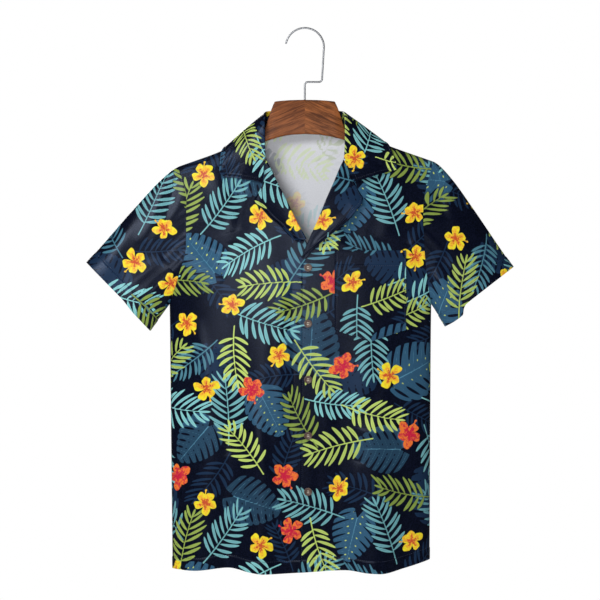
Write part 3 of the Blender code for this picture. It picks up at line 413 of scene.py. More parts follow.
def smooth(keys, values, at):
    """Cubic through values at rising keys, with no overshoot between them."""
    at = np.clip(at, keys[0], keys[-1])
    step = np.diff(keys)
    slope = np.diff(values) / step
    product = slope[:-1] * slope[1:]
    total = slope[:-1] + slope[1:]
    total = np.where(np.abs(total) < 1e-9, 1.0, total)
    tangent = np.empty(len(values))
    tangent[0] = slope[0]
    tangent[-1] = slope[-1]
    tangent[1:-1] = np.where(product > 0, 2 * product / total, 0.0)
    i = np.clip(np.searchsorted(keys, at) - 1, 0, len(step) - 1)
    t = (at - keys[i]) / step[i]
    start = (1 + 2 * t) * (1 - t) ** 2 * values[i] + t * (1 - t) ** 2 * step[i] * tangent[i]
    end = t * t * (3 - 2 * t) * values[i + 1] - t * t * (1 - t) * step[i] * tangent[i + 1]
    return start + end


def step_up(low, high, at):
    """Soft step from 0 at low to 1 at high."""
    t = np.clip((at - low) / (high - low), 0, 1)
    return t * t * (3 - 2 * t)


def unit(vectors):
    """Vectors divided by their lengths."""
    return vectors / np.maximum(np.linalg.norm(vectors, axis=-1), 1e-9)[..., None]


def turned(u, v, angle):
    """Coordinates along and across a direction at an angle from u."""
    c = math.cos(angle)
    s = math.sin(angle)
    return u * c + v * s, v * c - u * s


def joined(grid):
    """A closed grid with its first column once more at its end."""
    return np.concatenate([grid, grid[:, :1]], axis=1)


def distances(points):
    """Distance walked to each point of a line."""
    return np.append(0, np.cumsum(np.linalg.norm(np.diff(points, axis=0), axis=1)))


def at_distances(values, length, at):
    """Values of a line's points at distances along it."""
    return np.stack([np.interp(at, length, column) for column in values.T], axis=-1)


def walk(points, count):
    """Evenly spaced points along a line of points."""
    length = distances(points)
    return at_distances(points, length, np.linspace(0, length[-1], count))


def shoulder_line(x):
    """Height of the shoulder seams at x, a smooth cubic through SHOULDER."""
    return smooth(SHOULDER["x"], SHOULDER["z"], x)


def creases(x, z, face):
    """Sum of soft ridges along segments: height * exp(-(distance / width)^2).

    Each fades to nought at the segment's two ends.
    """
    total = np.zeros(np.broadcast(x, z).shape)
    for x_0, z_0, x_1, z_1, width, height in zip(*CREASES[face].values()):
        run_x = x_1 - x_0
        run_z = z_1 - z_0
        t = np.clip(((x - x_0) * run_x + (z - z_0) * run_z) / (run_x ** 2 + run_z ** 2), 0, 1)
        away = (x - x_0 - t * run_x) ** 2 + (z - z_0 - t * run_z) ** 2
        fade = (4 * t * (1 - t)) ** 0.6
        total = total + CREASE_GAIN * height * fade * np.exp(-away / width ** 2)
    return total


def folds(x, z, face):
    """Sum of the creases and of the ridges and troughs that run down to the hem."""
    total = creases(x, z, face)
    for top, hem, width, height, z_top in zip(*FOLDS[face].values()):
        way = np.clip((z_top - z) / (z_top - FOLD_FULL), 0, 1)
        centre = top + (hem - top) * way
        total = total + height * way ** 1.4 * np.exp(-(((x - centre) / width) ** 2))
    return total


def side_share(x, z):
    """1 at the middle of the body, falling to 0 round at its side seams."""
    right = smooth(OUTLINE["z"], OUTLINE["right"], z)
    left = smooth(OUTLINE["z"], OUTLINE["left"], z)
    edge = np.clip(np.abs(x - (left + right) / 2) / ((left - right) / 2), 0, 1)
    return (1 - edge ** SIDE_POWER) ** (1 / SIDE_POWER)


def swing(x, z, face):
    """How far the cloth swings out below the bend over the hanger."""
    below = np.maximum(shoulder_line(x) - z, 0)
    full = smooth(DEPTH["z"], DEPTH[face], z) - ARM_ROUND
    away = full * (1 - np.exp(-below / SETTLE[face]))
    return side_share(x, z) * (away + folds(x, z, face))


def depth(x, z, face):
    """Distance of a panel's outer surface from the plane of the side seams."""
    bend = np.clip((shoulder_line(x) - z) / ARM_ROUND, 0, 1)
    over_arm = ARM_ROUND * np.sqrt(1 - (1 - bend) ** 2)
    return side_share(x, z) * over_arm + swing(x, z, face)


def front_depth(x, z, side):
    """Depth of one front; the right one dips under the left one's edge.

    The dip fades towards the side and above the top button, and is deeper by
    the extra thickness of the hem.
    """
    value = depth(x, z, "front")
    if side == "right":
        dip = UNDERLAP + HEM_EXTRA * step_up(-835, -850, z)
        value = value - dip * step_up(-70, -18, x) * step_up(-296, -340, z)
    return value


def over(x, z, face, lift, side="left"):
    """Depth of a point that lies lift off a panel, measured square to it.

    The lift is multiplied by sqrt(1 + slope^2), up to 2.5 where it is steep.
    """
    reach = 1.0

    def level(at_x, at_z):
        """Depth of the panel itself."""
        if face == "front":
            return front_depth(at_x, at_z, side)
        return depth(at_x, at_z, "back")

    slope_x = (level(x + reach, z) - level(x - reach, z)) / (2 * reach)
    slope_z = (level(x, z + reach) - level(x, z - reach)) / (2 * reach)
    slope = np.minimum(np.sqrt(1 + slope_x ** 2 + slope_z ** 2), 2.5)
    return level(x, z) + lift * slope


def over_panels(x, z, ahead, lift):
    """y of points that lie lift off the front where ahead, else off the back."""
    return np.where(ahead, -over(x, z, "front", lift), over(x, z, "back", lift))


def back_top(x):
    """Top line of the back: the shoulders and the neckline between them."""
    neck = smooth(BACK_NECK["x"], BACK_NECK["z"], np.abs(x))
    return np.where(np.abs(x) < NECK_X, neck, shoulder_line(x))


def row_lines(outer_top, inner_top, count):
    """Heights of evenly spread rows at a panel's outer and inner edge.

    The table's rows are followed by a smooth cubic over their number, which
    is then walked in even steps of height.
    """
    outer_rise = (outer_top - UNDERARM) * UPPER_ROWS["outer"]
    inner_rise = (inner_top - INNER_START) * UPPER_ROWS["inner"]
    outer = np.append(BODY_ROWS["outer"], UNDERARM + outer_rise)
    inner = np.append(BODY_ROWS["inner"], INNER_START + inner_rise)
    hem = np.append(BODY_ROWS["hem"], np.zeros(len(outer_rise)))
    follow = np.append(np.zeros(len(BODY_ROWS["outer"])), UPPER_ROWS["follow"])
    key = np.arange(len(outer), dtype=float)
    fine = np.linspace(0, key[-1], 2000)
    walked = smooth(key, outer, fine) + smooth(key, inner, fine)
    at = np.interp(np.linspace(walked[0], walked[-1], count), walked, fine)
    return [smooth(key, column, at) for column in (outer, inner, hem, follow)]


def armhole_x(side, column, outer_z, tip_z):
    """The armhole seam's distance out at each height above the underarm."""
    hole = ARMHOLE[side]
    stretch = (outer_z - UNDERARM) / (tip_z - UNDERARM)
    seam_z = UNDERARM + stretch * (hole["z"][-1] - UNDERARM)
    above = smooth(hole["z"], hole[column], seam_z)
    below = smooth(OUTLINE["z"], OUTLINE[side], outer_z)
    return np.where(outer_z > UNDERARM, above, below)


def shape_rows(x, z, line, straight, hem, follow):
    """Heights bent to a top line by each row's follow, and to the hem by its hem."""
    z = z + follow[:, None] * (line - straight)
    return z + hem[:, None] * (smooth(HEM["x"], HEM["z"], x[:1]) - z[:1])


def close_side(y, edge, outer_z, inward):
    """Depths that fall to nought at the side seam, below the armhole."""
    return y - np.where(outer_z < UNDERARM, y[:, edge], 0)[:, None] * (1 - inward) ** 16


def front_grid(side, rows, columns):
    """Outer points of one front, rows from hem to shoulder, out to in.

    x and z run straight between the side's line and the opening's line; the
    depth is that of the hanging body at that x and z.
    """
    tip_x = ARMHOLE[side]["front"][-1]
    neck_x = SIDES[side] * NECK_X
    tip_z = float(shoulder_line(tip_x))
    outer_z, inner_z, hem, follow = row_lines(tip_z, float(shoulder_line(neck_x)), rows)
    outer_x = armhole_x(side, "front", outer_z, tip_z)
    inner_x = smooth(ROLL[side]["z"], ROLL[side]["x"], inner_z)
    inner_x = inner_x + SIDES[side] * INSET * step_up(V_START, V_START + 12, inner_z)
    share = np.linspace(0, 1, columns)
    x = outer_x[:, None] + (inner_x - outer_x)[:, None] * share
    z = outer_z[:, None] + (inner_z - outer_z)[:, None] * share
    line = shoulder_line(x)
    straight = line[:, :1] + (line[:, -1:] - line[:, :1]) * share
    z = shape_rows(x, z, line, straight, hem, follow)
    y = close_side(front_depth(x, z, side), 0, outer_z, share)
    return np.stack([x, -y, z], axis=-1)


def back_grid(rows, columns):
    """Outer points of the back, rows from hem to shoulder, right to left."""
    way = np.linspace(-1, 1, columns)
    middle_top = float(back_top(0.0))
    halves = []
    for side, part, edge in (("right", way[way <= 0], 0), ("left", way[way > 0], -1)):
        tip_z = float(shoulder_line(ARMHOLE[side]["back"][-1]))
        outer_z, middle_z, hem, follow = row_lines(tip_z, middle_top, rows)
        outer_x = armhole_x(side, "back", outer_z, tip_z)
        half = 1 - np.abs(part)
        x = outer_x[:, None] * (1 - half)
        z = outer_z[:, None] + (middle_z - outer_z)[:, None] * half
        first = back_top(outer_x)[:, None]
        straight = first + (middle_top - first) * half
        z = shape_rows(x, z, back_top(x), straight, hem, follow)
        y = close_side(depth(x, z, "back"), edge, outer_z, half)
        halves.append(np.stack([x, y, z], axis=-1))
    return np.concatenate(halves, axis=1)


def sleeve_grid(side, rings, columns):
    """Rings of one sleeve from its armhole to its cuff.

    Each point runs on a Bezier curve from the armhole, first outward and
    down, to the cuff, which is a blunt ellipse drawn in by its own wave. A
    ring starts at the tip of the shoulder, down the front and up the back.
    """
    tip_z = float(shoulder_line(ARMHOLE[side]["front"][-1]))
    z = np.linspace(tip_z, UNDERARM, 400)
    edges = []
    for column, sign in (("front", -1), ("back", 1)):
        x = armhole_x(side, column, np.maximum(z, UNDERARM + 1e-6), tip_z)
        edges.append(walk(np.stack([x, sign * depth(x, z, column), z], axis=-1), columns // 2 + 1))
    down, up = edges
    loop = np.concatenate([down, up[::-1][1:-1]])
    loop[0] = (down[0] + up[0]) / 2
    loop[columns // 2] = (down[-1] + up[-1]) / 2
    outer, lower = [np.array([x, 0, z]) for x, z in SLEEVE[side].values()]
    middle = (outer + lower) / 2
    angle = np.linspace(0, 2 * math.pi, columns, endpoint=False)
    c = np.cos(angle)
    s = np.sin(angle)
    wide = np.sign(c) * np.abs(c) ** CUFF_BLUNT
    cuff = middle + (outer - lower) / 2 * wide[:, None]
    inward = unit(loop.mean(axis=0) - middle)
    wave = CUFF_WAVE[side]
    cuff = cuff + inward * smooth(wave["share"], wave["back"], (1 - wide) / 2)[:, None]
    cuff[:, 1] = -CUFF_DEPTH * np.sign(s) * np.abs(s) ** CUFF_BLUNT
    top = (1 + c) / 2
    leave = np.stack([
        SIDES[side] * (UNDERARM_LEAVE[0] + (SHOULDER_LEAVE[0] - UNDERARM_LEAVE[0]) * top),
        np.zeros(len(top)),
        UNDERARM_LEAVE[1] + (SHOULDER_LEAVE[1] - UNDERARM_LEAVE[1]) * top], axis=-1)
    chord = cuff - loop
    reach = np.linalg.norm(chord, axis=1)[:, None]
    handle_1 = loop + leave * reach * SLEEVE_HANDLES[0]
    handle_2 = cuff - chord * SLEEVE_HANDLES[1]
    t = np.linspace(0, 1, rings - 2)[:, None, None]
    shown = ((1 - t) ** 3 * loop + 3 * t * (1 - t) ** 2 * handle_1
             + 3 * t * t * (1 - t) * handle_2 + t ** 3 * cuff)
    away = surface_normals(shown, True)
    away = away * np.sign(away[rings // 2, columns // 4, 1] * shown[rings // 2, columns // 4, 1])
    fade = step_up(0, 0.06, t) * step_up(1, 0.85, t)
    shown = shown + away * fade * creases(shown[..., 0], shown[..., 2], "sleeve")[..., None]
    # Two rings reach in behind the armhole and are drawn towards its middle
    inner = unit(loop.mean(axis=0) - loop)
    tucked = [loop - leave * reach + inner * sink for reach, sink in ((TUCK, 2.2), (0.8, 0.9))]
    return np.concatenate([np.stack(tucked), shown])


def lapel_grid(side, rows, columns):
    """Outer points of one lapel, from its folded edge to its outer edge.

    A row leaves the roll line round a small curl and runs straight to the
    lapel's edge, bowed at the foot of the gorge seam. The edge lifts off the
    front, and settles again towards the gorge, where it goes under the collar.
    """
    key = np.arange(len(LAPEL[side]["bow"]), dtype=float)
    at = np.linspace(0, key[-1], rows)
    line = {name: smooth(key, column, at) for name, column in LAPEL[side].items()}
    roll_z = line["roll_z"]
    roll_x = smooth(ROLL[side]["z"], ROLL[side]["x"], roll_z)
    slope = np.gradient(roll_x, roll_z)
    square_x = SIDES[side] / np.hypot(1, slope)
    square_z = -SIDES[side] * slope / np.hypot(1, slope)
    curl_key = np.arange(len(CURL["up"]), dtype=float)
    curl_at = np.linspace(0, curl_key[-1], CURL_COLUMNS)
    across = smooth(curl_key, CURL["across"], curl_at)
    curl_x = roll_x[:, None] + square_x[:, None] * across
    curl_z = roll_z[:, None] + square_z[:, None] * across
    share = np.linspace(0, 1, columns - CURL_COLUMNS + 1)[1:]
    reach_x = (line["edge_x"] - curl_x[:, -1])[:, None]
    reach_z = (line["edge_z"] - curl_z[:, -1])[:, None]
    bow = SIDES[side] * line["bow"][:, None] * np.interp(share, (0, GORGE_SHARE, 1), (0, 1, 0))
    bow = bow / np.hypot(reach_x, reach_z)
    x = np.concatenate([curl_x, curl_x[:, -1:] + reach_x * share + reach_z * bow], axis=1)
    z = np.concatenate([curl_z, curl_z[:, -1:] + reach_z * share - reach_x * bow], axis=1)
    up = np.append(smooth(curl_key, CURL["up"], curl_at), np.full(len(share), LAY + WALL))
    lift = np.append(np.zeros(CURL_COLUMNS), share ** 2.2) * LAPEL_LIFT[side]
    lift = lift * step_up(0, 0.35, np.linspace(0, 1, rows))[:, None]
    lift[-GORGE_ROWS:] *= np.linspace(1, 0, GORGE_ROWS)[:, None] ** 0.5
    # The last row is pushed up and in, under the collar
    z[-1] += 1.6
    lift[-1] -= 1.0
    return np.stack([x, -over(x, z, "front", up + lift, side), z], axis=-1)


def clear_of_panels(points, lift):
    """Moves points out until they lie at least lift off the panels."""
    x, y, z = np.moveaxis(points, -1, 0)
    axis_z = shoulder_line(x) - ARM_ROUND
    needed = ARM_ROUND + lift + np.where(y < 0, swing(x, z, "front"), swing(x, z, "back"))
    above = z > axis_z
    radius = np.maximum(np.hypot(y, z - axis_z), 0.001)
    grow = np.where(above & (radius < needed), needed / radius, 1.0)
    level = over_panels(x, z, y < 0, lift)
    low_y = np.where(y < 0, np.minimum(y, level), np.maximum(y, level))
    high_z = axis_z + (z - axis_z) * grow
    return np.stack([x, np.where(above, y * grow, low_y), np.where(above, high_z, z)], -1)


def wrap_over_shoulder(x, reach, lift):
    """Depth and height of points that lie reach beyond the shoulder line."""
    radius = ARM_ROUND + lift
    bend = radius * math.pi / 2
    turn = np.clip(reach / radius, -math.pi / 2, math.pi / 2)
    z = shoulder_line(x) - ARM_ROUND + radius * np.cos(turn) - np.maximum(np.abs(reach) - bend, 0)
    below = over_panels(x, z, reach < 0, lift)
    away = np.where(reach < 0, -swing(x, z, "front"), swing(x, z, "back"))
    return np.where(np.abs(reach) < bend, radius * np.sin(turn) + away, below), z


def collar_half(side, stations, columns):
    """Outer points of half a collar, from its gorge seam to the back's middle.

    Each section runs up the stand, round the folded edge, an arc of
    ROLL_RADIUS, and straight down the fall to the edge, kept off the panels.
    """
    out = SIDES[side]
    key = np.arange(len(COLLAR["face"]), dtype=float)
    station = np.linspace(0, key[-1], stations)
    line = {name: smooth(key, column, station) for name, column in COLLAR.items()}
    edge_x = out * smooth(key, COLLAR_EDGE[side]["out"], station)
    edge_z = smooth(key, COLLAR_EDGE[side]["z"], station)
    face = line["face"]
    first, last = COLLAR_WRAP
    near_ridge = step_up(first - 0.5, first + 0.5, station)
    near_ridge = near_ridge * step_up(last + 0.5, last - 0.5, station)
    lift = LAY + WALL + RIDGE_LIFT * near_ridge
    seam = np.stack([out * line["seam_out"], line["seam_y"], line["seam_z"]], -1)
    roll = np.stack([out * line["roll_out"], line["roll_y"], line["roll_z"]], -1)
    key_axis = shoulder_line(out * COLLAR_EDGE[side]["out"]) - ARM_ROUND
    bend = (ARM_ROUND + LAY + WALL) * math.pi / 2
    key_reach = COLLAR["face"] * (bend + key_axis - COLLAR_EDGE[side]["z"])
    reach = smooth(key, key_reach, station)
    wrap_y, wrap_z = wrap_over_shoulder(edge_x, reach, lift)
    flat_y = over_panels(edge_x, edge_z, face < 0, lift)
    near = (station > first) & (station < last)
    edge = np.stack([edge_x, np.where(near, wrap_y, flat_y), np.where(near, wrap_z, edge_z)], -1)
    along = unit(np.gradient(roll, axis=0))

    def square(vectors):
        """Part of the vectors across the folded edge, at unit length."""
        return unit(vectors - along * (vectors * along).sum(-1)[:, None])

    stand = square(seam - roll)
    apex = -unit(stand + square(edge - roll))
    behind = np.maximum(roll[:, 1], 0) * ROLL_OUTWARD
    across = square(np.stack([roll[:, 0], behind, np.zeros(len(roll))], -1))
    across = unit(across - apex * (across * apex).sum(-1)[:, None])
    half_turn = math.pi / 2 - np.arccos(np.clip(-(stand * apex).sum(-1), -1, 1))
    centre = roll - apex * ROLL_RADIUS
    arc = []
    for share in np.linspace(-1, 1, FOLD_COLUMNS):
        turn = (half_turn * share)[:, None]
        arc.append(centre + ROLL_RADIUS * (apex * np.cos(turn) + across * np.sin(turn)))
    up_stand = np.linspace(0, 1, STAND_COLUMNS + 1)[:-1]
    rows = [seam + (arc[0] - seam) * share for share in up_stand] + arc
    start = arc[-1]
    for share in np.linspace(0, 1, columns - len(rows) + 1)[1:]:
        point = start + (edge - start) * share
        point[:, 2] += COLLAR_BULGE * math.sin(math.pi * share) * (1 - np.abs(face))
        rise = COLLAR_LIFT[side] * share ** 2 * step_up(*COLLAR_POINT, station)
        rows.append(clear_of_panels(point, lift + rise))
    return np.stack(rows, axis=1)


def pocket_grid(rows, columns):
    """Outer points of the patch pocket, from its pointed foot to its top."""
    share = np.linspace(0, 1, columns)
    foot = POCKET_SIDE + (POCKET_POINT - POCKET_SIDE) * (1 - np.abs(2 * share - 1))
    z = foot + (POCKET_TOP - foot) * np.linspace(0, 1, rows)[:, None]
    x = np.broadcast_to(POCKET_LEFT + (POCKET_RIGHT - POCKET_LEFT) * share, z.shape)
    return np.stack([x, -over(x, z, "front", LAY + WALL), z], axis=-1)


# ---------------------------------------------------------------- print

def frond(u, v, size, bend, pairs):
    """Signed distance, in mm, to a palm frond that grows along u from 0 to size.

    Pairs of leaflets leave a thin bent stalk at 74 degrees, and at 46 near its
    tip, where one more ends it. Half a leaflet's width follows
    s ** 0.8 * (1 - s) ** 0.6 at the share s of its length, and it curves
    towards the frond's tip. Angles and lengths waver from pair to pair.
    """
    v = v - bend * size * (u / size) ** 2
    side = np.abs(v)
    best = np.maximum(side - 1.05 + 0.35 * u / size, np.maximum(-u, u - 0.9 * size))
    spacing = 0.66 * size / pairs
    leaflets = [(u - 0.84 * size, side, 0.16 * size, 0.12 * spacing + 0.6, 0.0)]
    u = u - np.where(v < 0, 0.25 * spacing, 0.0)
    for number in range(pairs + 1):
        t = number / pairs
        angle = math.radians(74 - 28 * t ** 1.4 + 4 * math.sin(2.3 * number + size))
        length = size * 0.3 * math.sin(math.pi * (0.28 + 0.5 * t)) ** 0.7
        length = length * (1 + 0.09 * math.sin(4.1 * number + 3 * size))
        width = min(0.24 * spacing * math.sin(angle), 0.095 * length) + 0.3
        along, across = turned(u - size * 0.18 - spacing * number, side, angle)
        leaflets.append((along, across, length, width, 0.2))
    for along, across, length, width, curve in leaflets:
        across = across + curve * along ** 2 / length
        share = np.clip(along / length, 0.0, 1.0)
        wide = width * 2.6 * share ** 0.8 * (1 - share) ** 0.6
        past = np.maximum(np.maximum(-along, along - length), 0)
        best = np.minimum(best, np.abs(across) - wide + past)
    return best


def split_leaf(u, v, size, whim):
    """Signed distances to a split leaf, its ribs and its holes, u from 0 to size.

    The half width is that of a heart. Curved slots lie half way between the
    side ribs: open ones widen from their start to the edge, and closed ones,
    on one half of some leaves, are ellipses. Small holes lie near the middle.
    """
    t = np.clip((u + 0.2 * size) / (1.2 * size), 0, 1)
    wide = 0.48 * size * np.sin(math.pi * t ** 0.72) ** 0.62
    side = np.abs(v)
    step = size / 6.2
    share = side / np.maximum(wide, 1.0)
    origin = u - 0.30 * side - 0.55 * side ** 2 / size + np.where(v < 0, 0.4 * step, 0.0)
    number = np.floor(origin / step)
    rib_at = np.abs((origin / step + 0.5) % 1.0 - 0.5) * step
    slot_at = step / 2 - rib_at
    scallop = 0.05 * size * np.clip(1 - slot_at / (0.34 * step), 0, 1) ** 2
    whole = np.maximum((side - wide + scallop) * 0.8, u - 0.985 * size)
    whole = np.maximum(whole, 0.5 * (-u) - side + 0.5)
    start = 0.38 + 0.08 * whim + 0.09 * np.sin(2.7 * number + size)
    slot = size * (0.008 + 0.026 * np.clip((share - start) / (1 - start), 0, 1) ** 0.8) - slot_at
    opened = np.minimum(slot, (share - start) * wide)
    round_slot = 0.028 * size * (1 - np.hypot((share - 0.62) / 0.24, slot_at / (0.028 * size)))
    closed = (v < 0) & (whim < 0.4)
    hole = 1.1 - np.hypot(slot_at, (share - 0.55 * start - 0.03) * wide * 0.6)
    leaf = np.maximum(np.maximum(whole, np.where(closed, round_slot, opened)), hole)
    rib = np.minimum(rib_at * 0.9 - 0.25, side - 0.8 + 0.5 * np.clip(u / size, 0, 1))
    rib = np.maximum(rib, np.maximum(side - 0.9 * wide, u - 0.95 * size))
    return leaf, rib, np.maximum(np.maximum(-hole, 0.9 - side), whole + 3)


def flower(u, v, radius):
    """Signed distance to five broad petals, and a share that draws their hearts.

    A petal is an ellipse set off from the middle, with a ruffled edge; the
    share grows outward, slower along each petal's own middle. A thin stamen
    with a small knob lies between two petals.
    """
    first = np.full(u.shape, FAR)
    second = np.full(u.shape, FAR)
    turn = np.arctan2(v, u)
    ruffle = 0.025 * radius * np.sin(11 * turn + radius)
    for number in range(5):
        angle = math.tau * number / 5 + 0.12 * math.sin(5 * number + radius)
        reach = radius * (1 + 0.13 * math.sin(3 * number + 2 * radius))
        along, across = turned(u, v, angle)
        along = along - 0.57 * reach
        across = across + 0.16 * along
        narrow = 0.335 * radius * (1 + 0.6 * np.clip(along / radius, -1, 1))
        petal = (np.hypot(along / (0.43 * reach), across / narrow) - 1) * 0.33 * radius + ruffle
        second = np.minimum(second, np.maximum(first, petal))
        first = np.minimum(first, petal)
    away = np.hypot(u, v) / radius
    first = np.minimum(first, (away - 0.2) * radius)
    seam = np.exp(-((second - first) / 1.1) ** 2)
    veins = np.cos(5 * turn) + 0.6 * np.maximum(np.cos(15 * turn + 4 * away), 0)
    core = away - 0.24 * veins * np.clip(away * 3, 0, 1) - 0.2 * seam
    along, across = turned(u, v, 0.63 + 0.3 * math.sin(2 * radius))
    across = across + 0.12 * along ** 2 / radius
    past = along - 1.1 * radius
    stamen = np.maximum(np.abs(across) - 0.045 * radius, np.maximum(-along, past))
    stamen = np.minimum(stamen, np.hypot(past, across) - 0.09 * radius)
    core = np.where(stamen < first, 0.45, np.where(stamen < 0.2, core - 0.25, core))
    return np.minimum(first, stamen), core


def lay_out(seed):
    """Places of the motifs in one repeat.

    Each motif takes the one of many random places that is farthest from the
    motifs laid before it, so they spread evenly; like motifs keep farther
    apart, and others may lie nearer to the ghosts. Distances run round the
    edges of the repeat. Each kind turns on by the golden angle.
    """
    rng = np.random.default_rng(seed)
    size = np.array(REPEAT)
    laid = []
    for kind, facts in MOTIFS.items():
        family = kind.split("_")[1]
        first_turn = rng.uniform(0, 360)
        for number in range(facts["count"]):
            tries = rng.uniform(0, 1, (PLACES_TRIED, 2)) * size
            score = np.full(len(tries), 1e9)
            for other_kind, place, _, _, _ in laid:
                gap = np.abs(tries - place)
                gap = np.minimum(gap, size - gap)
                weight = 1.0
                if other_kind == kind:
                    weight = 1 / facts["apart"]
                elif other_kind.split("_")[1] == family:
                    weight = 1 / 1.15
                elif other_kind.startswith("ghost"):
                    weight = 1.7
                score = np.minimum(score, np.hypot(gap[:, 0], gap[:, 1]) * weight)
            place = tries[int(np.argmax(score))]
            turn = math.radians(first_turn + 137.5 * number + rng.uniform(-15, 15))
            laid.append((kind, place, turn, rng.uniform(*facts["size"]), rng.uniform(-1, 1)))
    return laid


def print_layers(u, v, laid):
    """Distances to the motifs of each colour at points of the flat cloth.

    A motif's own axes are the cloth's, moved to its place and turned. A
    colour keeps the least distance of its motifs.
    """
    layer = {name: np.full(u.shape, FAR) for name in LAYERS}
    layer.update(kind=np.zeros(u.shape), tone=np.zeros(u.shape), core=np.ones(u.shape))

    def keep(name, chosen, values):
        """Writes values to a layer's points near the motif, where chosen."""
        layer[name][near] = np.where(chosen, values, layer[name][near])

    for kind, place, turn, size, whim in laid:
        colour, family = kind.split("_")
        reach = (0.95 if family == "leaf" else 0.62) * size * (2 if family == "flower" else 1)
        repeats = [
            range(math.floor((at.min() - reach) / step), math.ceil((at.max() + reach) / step))
            for at, step in zip((u, v), REPEAT)]
        for across, along in itertools.product(*repeats):
            du = u - place[0] - across * REPEAT[0]
            dv = v - place[1] - along * REPEAT[1]
            near = (np.abs(du) < reach) & (np.abs(dv) < reach)
            if not near.any():
                continue
            mu, mv = turned(du[near], dv[near], turn)
            name = colour
            if family == "frond":
                bend = 0.2 * math.copysign(0.4 + 0.6 * abs(whim), whim)
                found = frond(
                    mu + size / 2, mv + size * bend / 3, size, bend, FROND_PAIRS[colour])
            elif family == "leaf":
                found, rib, hole = split_leaf(mu + size / 2, mv, size, whim)
                if colour == "slate":
                    keep("rib", rib < layer["rib"][near], rib)
                    if whim > 0:
                        keep("lime", hole < layer["lime"][near], hole)
            else:
                name = "petal"
                found, core = flower(mu, mv, size)
                inside = found < layer["petal"][near]
                keep("core", inside, core)
                keep("kind", inside, float(colour == "red"))
            nearer = found < layer[name][near]
            keep("tone", nearer & (found < 1.5), whim)
            keep(name, nearer, found)
    return layer


# ---------------------------------------------------------------- meshes

def surface_normals(grid, closed):
    """Unit normals of a grid; closed joins its last column to the first."""
    down = np.gradient(grid, axis=0)
    if closed:
        wrapped = np.concatenate([grid[:, -1:], joined(grid)], axis=1)
        across = (wrapped[:, 2:] - wrapped[:, :-2]) / 2
    else:
        across = np.gradient(grid, axis=1)
    return unit(np.cross(across, down))


def lengths(grid, axis, square_to=(0.0, 0.0, 0.0)):
    """Distance walked along one axis of a grid, less its part along square_to."""
    step = np.diff(grid, axis=axis)
    part = step @ np.array(square_to, dtype=float)
    walked = np.cumsum(np.sqrt(np.maximum((step ** 2).sum(-1) - part ** 2, 0)), axis=axis)
    return np.pad(walked, [(1, 0), (0, 0)] if axis == 0 else [(0, 0), (1, 0)])


def quads(rows, columns, closed=False):
    """Corner numbers of the quads of a grid, anticlockwise from its normal."""
    last = columns if closed else columns - 1
    row, column = np.meshgrid(np.arange(rows - 1), np.arange(last), indexing="ij")
    a = row * columns + column
    b = row * columns + (column + 1) % columns
    return np.stack([a, b, b + columns, a + columns], axis=-1).reshape(-1, 4)


def mesh_from(name, points, faces, finishes, uv=None, values=None, groups=None):
    """Mesh object from arrays: points in mm, lists of equal-sided faces."""
    sizes = np.concatenate([np.full(len(f), f.shape[1]) for f in faces])
    corners = np.concatenate([f.ravel() for f in faces]).astype(np.int32)
    starts = np.append(0, np.cumsum(sizes)[:-1]).astype(np.int32)
    mesh = bpy.data.meshes.new(name)
    mesh.vertices.add(len(points))
    mesh.vertices.foreach_set("co", (points * MM).astype(np.float32).ravel())
    mesh.loops.add(len(corners))
    mesh.loops.foreach_set("vertex_index", corners)
    mesh.polygons.add(len(starts))
    mesh.polygons.foreach_set("loop_start", starts)
    if groups is not None:
        mesh.polygons.foreach_set("material_index", groups.astype(np.int32))
    mesh.update(calc_edges=True)
    mesh.validate()
    if uv is not None:
        layer = mesh.uv_layers.new(name="cloth")
        layer.data.foreach_set("uv", uv[corners].astype(np.float32).ravel())
    for key, column in (values or {}).items():
        data = mesh.attributes.new(key, "FLOAT", "POINT")
        data.data.foreach_set("value", column.astype(np.float32).ravel())
    mesh.shade_smooth()
    mesh.set_sharp_from_angle(angle=math.radians(SHARP_ANGLE))
    for finish in finishes:
        mesh.materials.append(finish)
    thing = bpy.data.objects.new(name, mesh)
    bpy.context.scene.collection.objects.link(thing)
    return thing


def add_piece(name, points, faces, finishes, slot, node=None, **more):
    """Mesh that belongs to the part, in place of a node where one is named."""
    piece = mesh_from(name, points, faces, finishes, **more)
    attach(piece, "root")
    if node:
        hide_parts(node)
    return piece


def rim(fine, coarse, outer_count):
    """Faces that join an edge of the outer side to one with half its points."""
    f = fine[:-2:2], fine[1:-1:2], fine[2::2]
    c = coarse[:-1] + outer_count, coarse[1:] + outer_count
    return np.concatenate([
        np.stack([f[1], f[0], c[0]], -1),
        np.stack([f[1], c[0], c[1]], -1),
        np.stack([f[2], f[1], c[1]], -1)])


def turned_edge(grid, normal, axis, from_end, stitch_at, proud):
    """Raises the cloth that is turned under along an edge, up to its stitches.

    It stands proud, rounds off to the edge itself, and falls into a groove
    where the stitches press it down.
    """
    away = lengths(np.flip(grid, axis) if from_end else grid, axis)
    if from_end:
        away = np.flip(away, axis)
    doubled = step_up(stitch_at + 0.2, stitch_at - 1.6, away) * step_up(-2.0, 1.6, away)
    groove = np.exp(-((away - stitch_at) / 1.1) ** 2)
    return grid + normal * (proud * (doubled - 0.5 * groove))[..., None]


